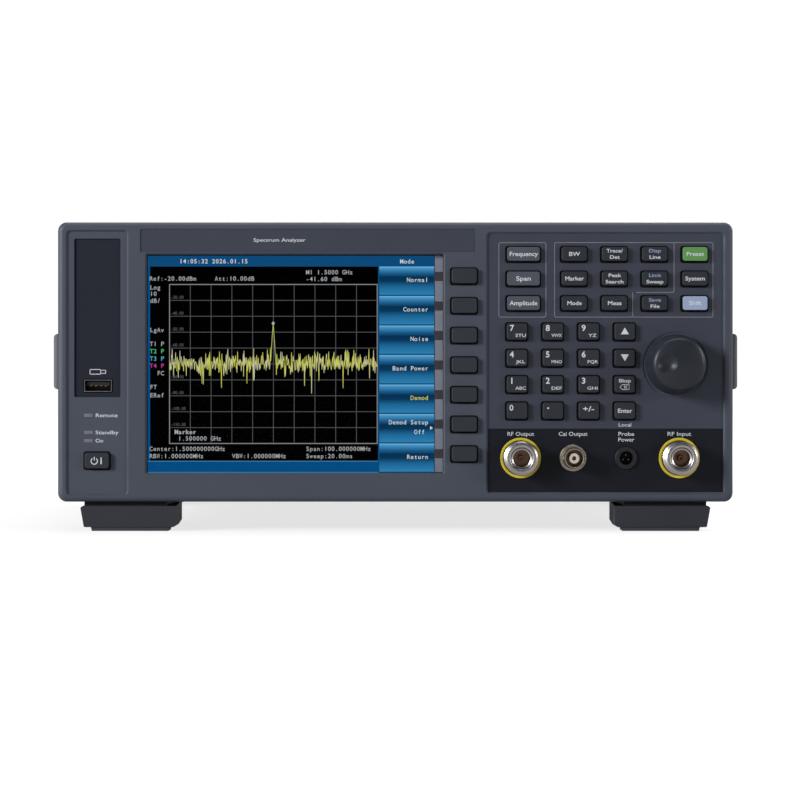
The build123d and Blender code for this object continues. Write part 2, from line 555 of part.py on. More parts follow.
def rf_module():
    """Milled receiver housing with its lid, and the rigid coaxial lines from the front jacks."""
    z0, lid_z = RECEIVER_Z, RECEIVER_Z + RECEIVER_H - 3
    housing = block(16, 146, -104, 60, z0, lid_z)
    for x0, x1 in ((20, 58), (62, 100), (104, 142)):
        for y0, y1 in ((-100, -52), (-48, 4), (8, 56)):
            housing -= block(x0, x1, y0, y1, z0 + 3, lid_z + 1)
    lid = block(16, 146, -104, 60, lid_z, lid_z + 3)
    lines = [rigid_line(x) for x in TYPE_N_X]
    return housing, lid, *lines


def rigid_line(x):
    """A 3.6 mm rigid coaxial line from a jack's back to the housing's front wall."""
    start_y, end_y = PANEL_BACK + 14, -104.0
    z = Z0 + JACK_H
    shift = 6.0 if x < 100 else -8.0
    points = [(x, start_y, z), (x, start_y + 18, z), (x + shift, start_y + 34, z + 4), (x + shift, end_y, z + 4)]
    path = FilletPolyline(*points, radius=9)
    section = Plane(origin=points[0], z_dir=(0, 1, 0)) * Circle(1.8)
    return sweep(section, path)


# ---------------------------------------------------------------- feet and handles
def bench_foot(inner, y0, y1, narrowing):
    """One right-hand foot of the lower four. Its inner side runs outwards by narrowing towards the rear."""
    outer, height, neck = FOOT_OUTER, FOOT_H - FOOT_GAP - PAD_T, 5.0
    outline = Polygon((inner, 1.6), (inner + 0.4, 0.5), (inner + 1.4, 0), (outer - 2.6, 0), (outer - 1.6, 0.2),
                      (outer, height - 0.8), (outer - 0.9, height), (inner, height), align=None)
    foot = prism(Pos(0, PAD_T) * outline, y0, y1)
    foot += block(inner + narrowing + 0.8, outer - 1.3, y0 + neck, y1 - 2, FOOT_H - FOOT_GAP - 1, Z0)
    wedge = Polygon((inner - 1, y0 + neck), (inner, y0 + neck), (inner + narrowing, y1), (inner - 1, y1), align=None)
    return foot - extrude(Pos(0, 0, -1) * wedge, amount=Z0)


def pad(inner, outer, y0, y1):
    """Rubber pad let in under a right-hand foot."""
    strip = Polygon((inner + 0.5, 0), (outer - 0.5, 0), (outer, PAD_T), (inner, PAD_T), align=None)
    return prism(strip, y0, y1)


def front_foot():
    """Right-hand front foot: a block hollowed for the folded wire, with a pad before and behind the hollow."""
    y0, y1 = FRONT_FOOT
    y, z = WIRE_PIVOT
    foot = bench_foot(FOOT_INNER, y0, y1, FOOT_NARROWING)
    foot += block(FOOT_X - 17.5, FOOT_X + 19, FACE + BEZEL_DEPTH + 0.3, y1 - 2, Z0 - 1, Z0 + SLEEVE_INSET)
    foot -= block(FOOT_X - 17.6, FOOT_X + 17.6, y - 4.5, y + WIRE_LENGTH + 4, PAD_T - 1, z + 3.4)
    foot -= rod_x(FOOT_X - 20.2, FOOT_X + 20.2, y, z, WIRE_R + RUNNING)
    front_pad = pad(FOOT_X - 19.5, FOOT_X + 17.7, y0 + 0.6, y0 + 13)
    return [foot, front_pad, pad(FOOT_X - 15, FOOT_X + 17.7, y1 - 8, y1 - 1)]


def rear_bench_foot():
    """Right-hand rear foot, a narrower block nearer to the corner, with one long pad."""
    y0, y1 = REAR_BENCH_FOOT
    foot = bench_foot(REAR_FOOT_INNER, y0, y1, 0.5)
    foot += block(REAR_FOOT_INNER + 3, FOOT_OUTER - 3, y0 + 6, y1 - 2, Z0 - 1, Z0 + SLEEVE_INSET)
    return [foot, pad(REAR_FOOT_INNER + 3, FOOT_OUTER - 4.9, y0 + 12, y1 - 4)]


def feet():
    """Four bench feet with their pads, and the four stand-off feet on the rear panel."""
    right = front_foot() + rear_bench_foot()
    left = [mirror(part, Plane.YZ) for part in right]
    return right + left + [rear_foot(x, z) for x, z in rear_foot_places()]


def rear_foot_places():
    return [(sx * REAR_FOOT_X, z) for sx in (-1, 1) for z in (Z0 + REAR_FOOT_INSET, TOP - REAR_FOOT_INSET)]


def rear_foot(x, z):
    """A stand-off foot in a corner of the rear panel, so that the instrument can stand on its back."""
    seat, end = REAR_PLATE + REAR_PLATE_T, LENGTH / 2
    foot = prism(Pos(x, z) * RectangleRounded(REAR_FOOT, REAR_FOOT, 4), seat, end)
    foot = fillet(foot.faces().sort_by(BACKWARD)[-1].edges(), 2.5)
    foot -= rod_y(x, z, HEAD_R + 0.4, seat + 8, end + 1)
    return foot - rod_y(x, z, SCREW_HOLE_R, seat - 1, seat + 9)


def tilt_stand(x):
    """A bent wire folded back into a front foot."""
    y, z = WIRE_PIVOT
    back = y + WIRE_LENGTH
    path = FilletPolyline((x - 19.6, y, z), (x - WIRE_SPAN, y, z), (x - WIRE_SPAN, back, z),
                          (x + WIRE_SPAN, back, z), (x + WIRE_SPAN, y, z), (x + 19.6, y, z), radius=2.4)
    section = Plane(origin=(x - 19.6, y, z), z_dir=(1, 0, 0)) * Circle(WIRE_R)
    return sweep(section, path)


def strap(side):
    """A flexible carrying strap: thin ends held in the caps, and a thicker grip bowed off the case."""
    y0, y1 = STRAP_ENDS
    outer = ((163.6, y0), (163.6, -104), (170.0, -70), (170.0, 92), (163.6, 126), (163.6, y1))
    inner = ((160.6, y1), (160.6, 126), (165.8, 92), (165.8, -70), (160.6, -104), (160.6, y0))
    with BuildSketch(Plane.XY) as outline:
        with BuildLine():
            FilletPolyline(*outer, radius=40)
            Line(outer[-1], inner[0])
            FilletPolyline(*inner, radius=40)
            Line(inner[-1], outer[0])
        make_face()
    band = extrude(Plane.XY.offset(Z0 + STRAP_H - STRAP_W / 2) * outline.sketch, amount=STRAP_W)
    return band if side > 0 else mirror(band, Plane.YZ)


def cap_screw_y():
    """The caps' screws, near the end away from the strap."""
    return CAPS_Y[0][0] + 6.5, CAPS_Y[1][1] - 6.5


def strap_cap(side, y0, y1, screw_y):
    """A moulded cap that holds one end of a strap against the case."""
    z = Z0 + STRAP_H
    inner, outer = SLEEVE_SIDE, SLEEVE_SIDE + CAP_OUT
    cap = block(inner, outer, y0, y1, z - CAP_W / 2, z + CAP_W / 2)
    cap = fillet(cap.faces().sort_by(Axis.X)[-1].edges(), 2.2)
    end = STRAP_ENDS[0] - 0.6 if y0 < 0 else STRAP_ENDS[1] + 0.6
    mouth = y1 + 1 if y0 < 0 else y0 - 1
    slot = block(160.2, 164.0, min(end, mouth), max(end, mouth), z - STRAP_W / 2 - 0.3, z + STRAP_W / 2 + 0.3)
    cap -= slot
    cap -= rod_x(outer - HEAD_T - 0.6, outer + 1, screw_y, z, HEAD_R + 0.3)
    cap -= rod_x(inner - 1, outer, screw_y, z, SCREW_HOLE_R)
    return cap if side > 0 else mirror(cap, Plane.YZ)


def strap_caps():
    front_screw, rear_screw = cap_screw_y()
    return [strap_cap(side, *span, screw) for side in (-1, 1)
            for span, screw in ((CAPS_Y[0], front_screw), (CAPS_Y[1], rear_screw))]


# ---------------------------------------------------------------- fasteners
def tray_screws():
    """Screws that hold the rear panel on the tray's tabs."""
    return [(x, Z0 + 12.0) for x in (-60.0, 20.0, 110.0)]


def fan_screws():
    x, z = FAN_AT[0], Z0 + FAN_AT[1]
    return [(x + sx * FAN_SCREWS, z + sz * FAN_SCREWS) for sx in (-1, 1) for sz in (-1, 1)]


def screw(length):
    """A pan-head screw with a cross recess, its head's seat at z = 0, its shank running down."""
    head = extrude(Circle(HEAD_R), amount=HEAD_T)
    head = fillet(head.faces().sort_by(Axis.Z)[-1].edges(), 0.9)
    for turn in (0, 90):
        head -= Pos(0, 0, HEAD_T) * Rot(0, 0, turn) * Box(3.6, 0.8, 1.8)
    return head + extrude(Circle(SCREW_R), amount=-length)


def fasteners():
    parts = []
    seat = REAR_PLATE + REAR_PLATE_T
    for x, z in tray_screws() + fan_screws():
        parts.append(Pos(x, seat, z) * Rot(-90, 0, 0) * screw(7))
    for x, z in rear_foot_places():
        parts.append(Pos(x, seat + 8, z) * Rot(-90, 0, 0) * screw(14))
    seat = SLEEVE_SIDE + CAP_OUT - HEAD_T - 0.6
    for side in (-1, 1):
        for y in cap_screw_y():
            parts.append(Pos(side * seat, y, Z0 + STRAP_H) * Rot(0, side * 90, 0) * screw(9))
    return parts


# ---------------------------------------------------------------- write every node
def main():
    os.makedirs("parts", exist_ok=True)
    for name, x, height, size, panel in key_table():
        save(name, key(x, height, size, panel))
    save("front_bezel", front_bezel())
    save("knob", *knob())
    save("display", *display())
    save("circuit_boards", *circuit_boards())
    save("coaxial_jacks", *coaxial_jacks())
    save("panel_sockets", probe_socket(), usb_a_socket(), *rear_sockets(), mains_inlet(), rocker_housing())
    save("power_rocker", power_rocker())
    save("case_sleeve", case_sleeve())
    save("rear_panel", rear_panel())
    save("chassis", chassis())
    save("fan_frame", fan_frame())
    save("fan_rotor", fan_rotor())
    save("power_supply", *power_supply())
    save("rf_module", *rf_module())
    save("feet", *feet())
    save("tilt_stand_left", tilt_stand(-FOOT_X))
    save("tilt_stand_right", tilt_stand(FOOT_X))
    save("strap_left", strap(-1))
    save("strap_right", strap(1))
    save("strap_caps", *strap_caps())
    save("fasteners", *fasteners())


main()
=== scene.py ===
"""Looks of the bench spectrum analyzer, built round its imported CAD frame.

Shapes are written in millimetres and turned into metres when a piece is finished. X runs to the right seen
from the front, Y from the front panel to the rear, Z up. "Height" is measured from the body's underside.
"""

import math
import random

import bmesh
import bpy
from mathutils import Matrix, Vector


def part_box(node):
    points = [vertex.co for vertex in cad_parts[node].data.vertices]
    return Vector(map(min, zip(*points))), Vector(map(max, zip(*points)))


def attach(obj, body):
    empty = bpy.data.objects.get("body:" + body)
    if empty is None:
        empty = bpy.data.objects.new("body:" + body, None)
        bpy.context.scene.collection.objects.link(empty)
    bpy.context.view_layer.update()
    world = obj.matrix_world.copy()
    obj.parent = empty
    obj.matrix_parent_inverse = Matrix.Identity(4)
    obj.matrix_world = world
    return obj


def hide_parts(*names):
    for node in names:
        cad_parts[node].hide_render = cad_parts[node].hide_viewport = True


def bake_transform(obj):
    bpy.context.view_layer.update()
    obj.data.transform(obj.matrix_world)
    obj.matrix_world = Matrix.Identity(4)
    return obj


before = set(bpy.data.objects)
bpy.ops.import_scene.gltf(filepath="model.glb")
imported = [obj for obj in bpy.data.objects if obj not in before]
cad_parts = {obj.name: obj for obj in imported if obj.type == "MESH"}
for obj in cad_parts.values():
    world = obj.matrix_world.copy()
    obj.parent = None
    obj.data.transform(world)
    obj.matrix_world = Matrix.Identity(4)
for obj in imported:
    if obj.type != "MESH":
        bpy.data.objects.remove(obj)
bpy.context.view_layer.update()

MM = 0.001
BODY = "instrument"

# ---------- places, as in the CAD model
FLOOR_GAP = 13.8                     # z of the body's underside
FACE, BAY = -182.0, -181.0           # y of the display plateau and of the bays' floor
PLATE_FLOOR = BAY + 0.3              # y of the dark plate behind the jacks
INSERT_FLOOR = BAY + 0.8
NAMEPLATE_FACE = FACE + 0.35
LCD = -178.2                         # y of the liquid-crystal panel's front
BOARD_TOP = FLOOR_GAP + 73.7         # z just over the main board's upper face
KEY_RISE, KEY_GAP = 2.4, 0.45        # a key's face above its panel, and the gap round it
KEY_LIP, KEY_CORNER = 1.1, 1.3       # lip round a key's back, radius of the key's corners
REAR_SEAT = 180.0                    # y of the rear plate's outer face

KEY_BAY = (43.9, 155.2, 4.6, 126.9)
PORT_INSERT = (-152.1, -130.2, 49.6, 124.7)
JACK_PLATE = (43.9, 155.2, 4.6, 34.7)
NAMEPLATE = (-120.8, 37.7, 118.3, 129.2)
WINDOW = (-117.8, 22.8, 13.6, 117.2)
SOFTKEY_TOP, SOFTKEY_PITCH, SOFTKEYS = 106.9, 14.02, 7
MENU_TOP, MENU_PITCH = 111.6, 14.0   # the softkeys' labels on the display
JACK_H = 20.8
TYPE_N_X, BNC_X, PROBE_X = (59.3, 134.4), 84.1, 109.3
REAR_BNC_X, REAR_BNC_H = (10.0, 34.0, 58.0), 104.0
KNOB_AT = (132.6, 65.0)
USB_AT = (-140.9, 55.0)
LAMP_X, LAMP_HEIGHTS = -145.4, (41.0, 32.9, 29.0)
INLET_AT, ROCKER_AT = (-113.0, 30.0), (-84.0, 30.0)
LAN_AT, USB_B_AT, VGA_AT = (14.0, 32.0), (40.0, 32.0), (76.0, 32.0)
STRAP_H, STRAP_W = 67.0, 24.0

# ---------- materials
PAINT_SHARE = 0.62                   # how much of a screen colour a paint needs under the studio's lights
PLASTIC_SHEEN = 0.18                 # specular level of the plastics


def tone(red, green, blue):
    """A screen colour, 0 to 255, as linear light by the sRGB curve."""
    def linear(value):
        share = value / 255
        return share / 12.92 if share <= 0.04045 else ((share + 0.055) / 1.055) ** 2.4
    return linear(red), linear(green), linear(blue), 1.0


def shade(red, green, blue):
    """The paint that looks like a screen colour under the studio's lights."""
    return tuple(value * PAINT_SHARE for value in tone(red, green, blue)[:3]) + (1.0,)


def set_inputs(node, **values):
    """Sets a shader node's inputs, whose names are written with underscores."""
    for name, value in values.items():
        node.inputs[name.replace("_", " ")].default_value = value
    return node


def new_node(tree, kind, **values):
    return set_inputs(tree.nodes.new(f"ShaderNode{kind}"), **values)


def material(name, colour, roughness, metallic=0.0, **values):
    """A material whose plain values stand on its own shader."""
    made = bpy.data.materials.new(name)
    made.use_nodes = True
    made.diffuse_color = colour
    shader = made.node_tree.nodes["Principled BSDF"]
    if not metallic:
        set_inputs(shader, Specular_IOR_Level=PLASTIC_SHEEN)
    set_inputs(shader, Base_Color=colour, Roughness=roughness, Metallic=metallic, **values)
    return made


def noise(tree, scale, detail, stretch=None):
    """A noise texture on the piece's own coordinates. scale is the size of its features in millimetres."""
    place = new_node(tree, "TexCoord").outputs["Object"]
    if stretch:
        mapping = new_node(tree, "Mapping", Scale=stretch)
        tree.links.new(place, mapping.inputs["Vector"])
        place = mapping.outputs["Vector"]
    texture = new_node(tree, "TexNoise", Scale=1 / (scale * MM), Detail=detail)
    tree.links.new(place, texture.inputs["Vector"])
    return texture.outputs["Fac"]


def spread(tree, value, low, high):
    """Maps a noise's middle range onto low to high."""
    spreader = new_node(tree, "MapRange", From_Min=0.3, From_Max=0.7, To_Min=low, To_Max=high)
    tree.links.new(value, spreader.inputs["Value"])
    return spreader.outputs["Result"]


def surface(made, grain, depth, patch, tint, gloss=0.05, stretch=None):
    """Adds moulded or worked texture: fine relief, slow changes of shade, and uneven gloss."""
    tree = made.node_tree
    shader = tree.nodes["Principled BSDF"]
    base = shader.inputs["Base Color"].default_value[:]
    rough = shader.inputs["Roughness"].default_value

    bump = new_node(tree, "Bump", Distance=depth * MM)
    tree.links.new(noise(tree, grain, 2.5, stretch), bump.inputs["Height"])
    tree.links.new(bump.outputs["Normal"], shader.inputs["Normal"])

    mix = new_node(tree, "Mix")
    mix.data_type = "RGBA"
    mix.inputs["A"].default_value = [c * (1 - tint) for c in base[:3]] + [1]
    mix.inputs["B"].default_value = [min(c * (1 + tint), 1) for c in base[:3]] + [1]
    tree.links.new(spread(tree, noise(tree, patch, 4.0, stretch), 0, 1), mix.inputs["Factor"])
    tree.links.new(mix.outputs["Result"], shader.inputs["Base Color"])

    low, high = max(rough - gloss, 0.02), min(rough + gloss, 1)
    tree.links.new(spread(tree, noise(tree, grain * 6, 3.0, stretch), low, high), shader.inputs["Roughness"])
    return made


def plastic(name, colour, roughness, *texture):
    """A moulded or painted surface."""
    return surface(material(name, shade(*colour), roughness), *texture)


def key_plastic(name, *colour):
    return plastic(name, colour, 0.5, 0.4, 0.025, 18, 0.06)


def metal(name, colour, roughness, *texture):
    return surface(material(name, tone(*colour), roughness, 1.0), *texture)


def glow(name, *colour):
    """A lit colour on the display."""
    return material(name, (0, 0, 0, 1), 0.5, Specular_IOR_Level=0, Emission_Color=tone(*colour),
                    Emission_Strength=1)


def menu_glow():
    """The softkey labels' shading: light at each label's top, dark across its middle, mid-blue below."""
    made = glow("screen_menu", 0, 0, 0)
    tree = made.node_tree
    split = new_node(tree, "SeparateXYZ")
    tree.links.new(new_node(tree, "TexCoord").outputs["Object"], split.inputs["Vector"])
    top = (FLOOR_GAP + MENU_TOP) * MM
    step = new_node(tree, "MapRange", From_Min=top, From_Max=top - MENU_PITCH * MM)
    step.clamp = False
    tree.links.new(split.outputs["Z"], step.inputs["Value"])
    within = new_node(tree, "Math")
    within.operation = "FRACT"
    tree.links.new(step.outputs["Result"], within.inputs[0])
    ramp = new_node(tree, "ValToRGB")
    stops = ((0.0, (112, 186, 232)), (0.07, (70, 146, 196)), (0.22, (30, 98, 146)), (0.36, (6, 50, 84)),
             (0.5, (8, 56, 92)), (0.68, (30, 104, 152)), (0.94, (46, 130, 180)), (0.985, (14, 50, 84)))
    ramp.color_ramp.elements[0].color = tone(*stops[0][1])
    ramp.color_ramp.elements[1].color = tone(8, 36, 60)
    for position, colour in stops[1:]:
        ramp.color_ramp.elements.new(position).color = tone(*colour)
    tree.links.new(within.outputs[0], ramp.inputs["Fac"])
    tree.links.new(ramp.outputs["Color"], tree.nodes["Principled BSDF"].inputs["Emission Color"])
    return made


# After the colour and roughness come grain, relief, patch, tint and gloss, as in surface().
bezel_paint = plastic("bezel_plastic", (70, 75, 87), 0.48, 0.45, 0.03, 60, 0.05)
bay_paint = plastic("bay_plastic", (61, 65, 77), 0.48, 0.45, 0.03, 60, 0.05)
insert_paint = plastic("insert_plastic", (20, 25, 39), 0.65, 0.6, 0.05, 30, 0.08)
plate_paint = plastic("jack_plate_film", (16, 20, 30), 0.45, 0.3, 0.012, 40, 0.06)
nameplate_paint = plastic("nameplate_film", (61, 65, 77), 0.42, 0.3, 0.01, 40, 0.05)
key_paint = key_plastic("key_plastic", 43, 46, 54)
softkey_paint = key_plastic("softkey_plastic", 44, 49, 57)
main_key_paint = key_plastic("main_key_plastic", 76, 80, 89)
green_key_paint = key_plastic("green_key_plastic", 95, 148, 80)
blue_key_paint = key_plastic("blue_key_plastic", 150, 165, 194)
# Painted shade: the dark colour on the keys' sides and rounded edges.
key_side_shade = plastic("key_side_painted_shade", (22, 24, 28), 0.6, 0.4, 0.02, 18, 0.06)
# Painted shadow: near-black for the liners and edges round the keys.
slot_shadow_paint = plastic("slot_painted_shadow", (4, 4, 7), 0.9, 0.4, 0.02, 18, 0.06)
knob_paint = plastic("knob_rubber", (40, 43, 51), 0.36, 0.5, 0.006, 25, 0.08)
case_paint = plastic("case_paint", (78, 83, 96), 0.5, 0.55, 0.05, 80, 0.05)
rear_paint = plastic("rear_plastic", (66, 70, 82), 0.55, 0.45, 0.03, 60, 0.05)
foot_paint = plastic("foot_plastic", (46, 48, 55), 0.6, 0.5, 0.04, 30, 0.08)
pad_rubber = plastic("pad_rubber", (62, 63, 71), 0.85, 0.35, 0.05, 12, 0.12)
cap_paint = plastic("cap_plastic", (92, 94, 100), 0.5, 0.45, 0.035, 25, 0.06)
strap_rubber = plastic("strap_rubber", (48, 50, 55), 0.7, 0.5, 0.05, 20, 0.1)
black_plastic = plastic("black_plastic", (36, 37, 41), 0.5, 0.4, 0.03, 20, 0.08)
fan_plastic = plastic("fan_plastic", (28, 28, 30), 0.45, 0.4, 0.02, 20, 0.08)
nickel = metal("nickel_plate", (160, 157, 155), 0.32, 0.25, 0.004, 8, 0.08, 0.06)
satin_nickel = metal("satin_nickel", (158, 150, 138), 0.38, 0.25, 0.006, 8, 0.08, 0.06)
steel = metal("plated_steel", (196, 197, 200), 0.3, 0.25, 0.006, 10, 0.06, 0.08)
port_rim = metal("port_rim", (112, 113, 115), 0.4, 0.25, 0.006, 5, 0.08, 0.06)
# Painted shade: a darker metal for the memory port's inside, deeper than its rim.
port_inside_shade = metal("port_inside_shade", (62, 60, 58), 0.45, 0.25, 0.006, 5, 0.08, 0.06)
contact_brown = metal("contact_bronze", (122, 98, 82), 0.38, 0.2, 0.003, 4, 0.08, 0.06)
gold = metal("gold_plate", (222, 178, 96), 0.25, 0.2, 0.003, 4, 0.08, 0.06)
tray_metal = metal("tray_aluminium", (188, 190, 192), 0.42, 0.3, 0.01, 30, 0.08, 0.08, (1, 12, 12))
receiver_metal = metal("receiver_aluminium", (200, 202, 206), 0.34, 0.4, 0.012, 30, 0.06, 0.08)
wire_paint = plastic("wire_paint", (54, 55, 60), 0.45, 0.3, 0.015, 10, 0.08)
ring_paint = plastic("yellow_ring", (216, 192, 62), 0.38, 0.3, 0.01, 6, 0.08)
dielectric = plastic("dielectric", (214, 202, 190), 0.5, 0.3, 0.01, 4, 0.08)
board_mask = plastic("solder_mask", (30, 78, 48), 0.35, 0.8, 0.02, 6, 0.2)
chip_epoxy = plastic("chip_epoxy", (28, 28, 30), 0.6, 0.4, 0.02, 10, 0.08)
tin_can = metal("tin_can", (190, 190, 186), 0.35, 0.6, 0.01, 15, 0.08)
lamp_lens = plastic("lamp_lens", (112, 115, 124), 0.35, 0.3, 0.006, 3, 0.06)
ink = plastic("white_ink", (207, 211, 218), 0.6, 0.15, 0.004, 3, 0.04)
dim_ink = plastic("grey_ink", (122, 126, 136), 0.6, 0.15, 0.004, 3, 0.05)
shift_ink = plastic("blue_grey_ink", (142, 156, 184), 0.6, 0.15, 0.004, 3, 0.04)
strip_paint = plastic("pointer_strip", (136, 142, 156), 0.5, 0.3, 0.006, 6, 0.05)
strip_gap_paint = plastic("pointer_gap", (68, 65, 71), 0.5, 0.3, 0.006, 6, 0.05)
monitor_blue = plastic("monitor_connector_blue", (34, 64, 150), 0.5, 0.3, 0.01, 6, 0.06)
window_glass = material("window_glass", (0.0, 0.0, 0.0, 1), 0.16, Alpha=0.04, IOR=1.45)
window_glass.surface_render_method = "BLENDED"

lit_black = glow("screen_black", 1, 1, 2)
lit_header = glow("screen_header", 14, 76, 124)
lit_bar = glow("screen_bar", 6, 77, 132)
lit_edge = glow("screen_bar_edge", 62, 126, 170)
lit_grid = glow("screen_grid", 84, 85, 87)
lit_frame = glow("screen_frame", 138, 140, 142)
lit_dim = glow("screen_dim_text", 84, 85, 86)
lit_white = glow("screen_white", 172, 174, 177)
lit_yellow = glow("screen_yellow", 204, 206, 92)
lit_bright = glow("screen_bright", 214, 218, 222)
lit_pale = glow("screen_pale", 206, 206, 178)
lit_green = glow("screen_green", 84, 196, 116)
lit_cyan = glow("screen_cyan", 84, 180, 196)
lit_magenta = glow("screen_magenta", 192, 64, 148)
lit_menu = menu_glow()


# ---------- shapes, in millimetres
def rounded(x0, x1, z0, z1, radius, steps=5):
    """A rectangle with round corners, as points that run anticlockwise seen from the front."""
    corners = ((x1 - radius, z0 + radius, -90), (x1 - radius, z1 - radius, 0),
               (x0 + radius, z1 - radius, 90), (x0 + radius, z0 + radius, 180))
    points = []
    for cx, cz, start in corners:
        for i in range(steps + 1):
            angle = math.radians(start + 90 * i / steps)
            points.append((cx + radius * math.cos(angle), cz + radius * math.sin(angle)))
    return points


def rectangle(x0, x1, z0, z1):
    return [(x0, z0), (x1, z0), (x1, z1), (x0, z1)]


def circle(x, z, radius, steps=40):
    return [(x + radius * math.cos(2 * math.pi * i / steps), z + radius * math.sin(2 * math.pi * i / steps))
            for i in range(steps)]


def curved_corners(corners, radius, steps=5):
    """A path with its inner corners rounded. The first and last points stay as they are."""
    points = [Vector(corners[0])]
    for before, here, after in zip(corners, corners[1:], corners[2:]):
        here, before, after = Vector(here), Vector(before), Vector(after)
        start = here + (before - here).normalized() * radius
        end = here + (after - here).normalized() * radius
        for i in range(steps + 1):
            t = i / steps
            points.append(start * (1 - t) ** 2 + here * 2 * t * (1 - t) + end * t**2)
    points.append(Vector(corners[-1]))
    return points


def lettering(text, size, offset=0.0, depth=0.0, align="CENTER"):
    """Text in the built-in font, as a mesh in its own X and Y."""
    curve = bpy.data.curves.new("lettering", "FONT")
    curve.body = text
    curve.size = size
    curve.offset = offset
    curve.extrude = depth / 2
    curve.resolution_u = 3
    curve.align_x = align
    holder = bpy.data.objects.new("lettering", curve)
    bpy.context.scene.collection.objects.link(holder)
    bpy.context.view_layer.update()
    shape = bpy.data.meshes.new_from_object(holder.evaluated_get(bpy.context.evaluated_depsgraph_get()))
    bpy.data.objects.remove(holder)
    bpy.data.curves.remove(curve)
    return shape


def span(shape, axis):
    """A mesh's size along one axis."""
    places = [vertex.co[axis] for vertex in shape.vertices]
    return max(places) - min(places)


FONT_CAP = span(lettering("H", 1.0), 1)      # capital height of the built-in font at size 1


def letter_mesh(text, cap, width, weight, depth, align="CENTER"):
    """Lettering of a capital height, stretched to a width, with its baseline half a capital below zero."""
    shape = lettering(text, cap / FONT_CAP, weight * cap, depth, align)
    stretch = min(max(width / span(shape, 0), 0.6), 1.4) if width else 1.0
    shape.transform(Matrix.Translation((0, -cap / 2, 0)) @ Matrix.Diagonal((stretch, 1, 1, 1)))
    return shape


TEXT_DEPTH = 0.06
GLYPHS = {}


def glyph(char):
    """One character of the display's fixed-width lettering, with capitals one unit high."""
    if char not in GLYPHS:
        GLYPHS[char] = letter_mesh(char, 1.0, None, 0.012, 0.02)
    return GLYPHS[char]


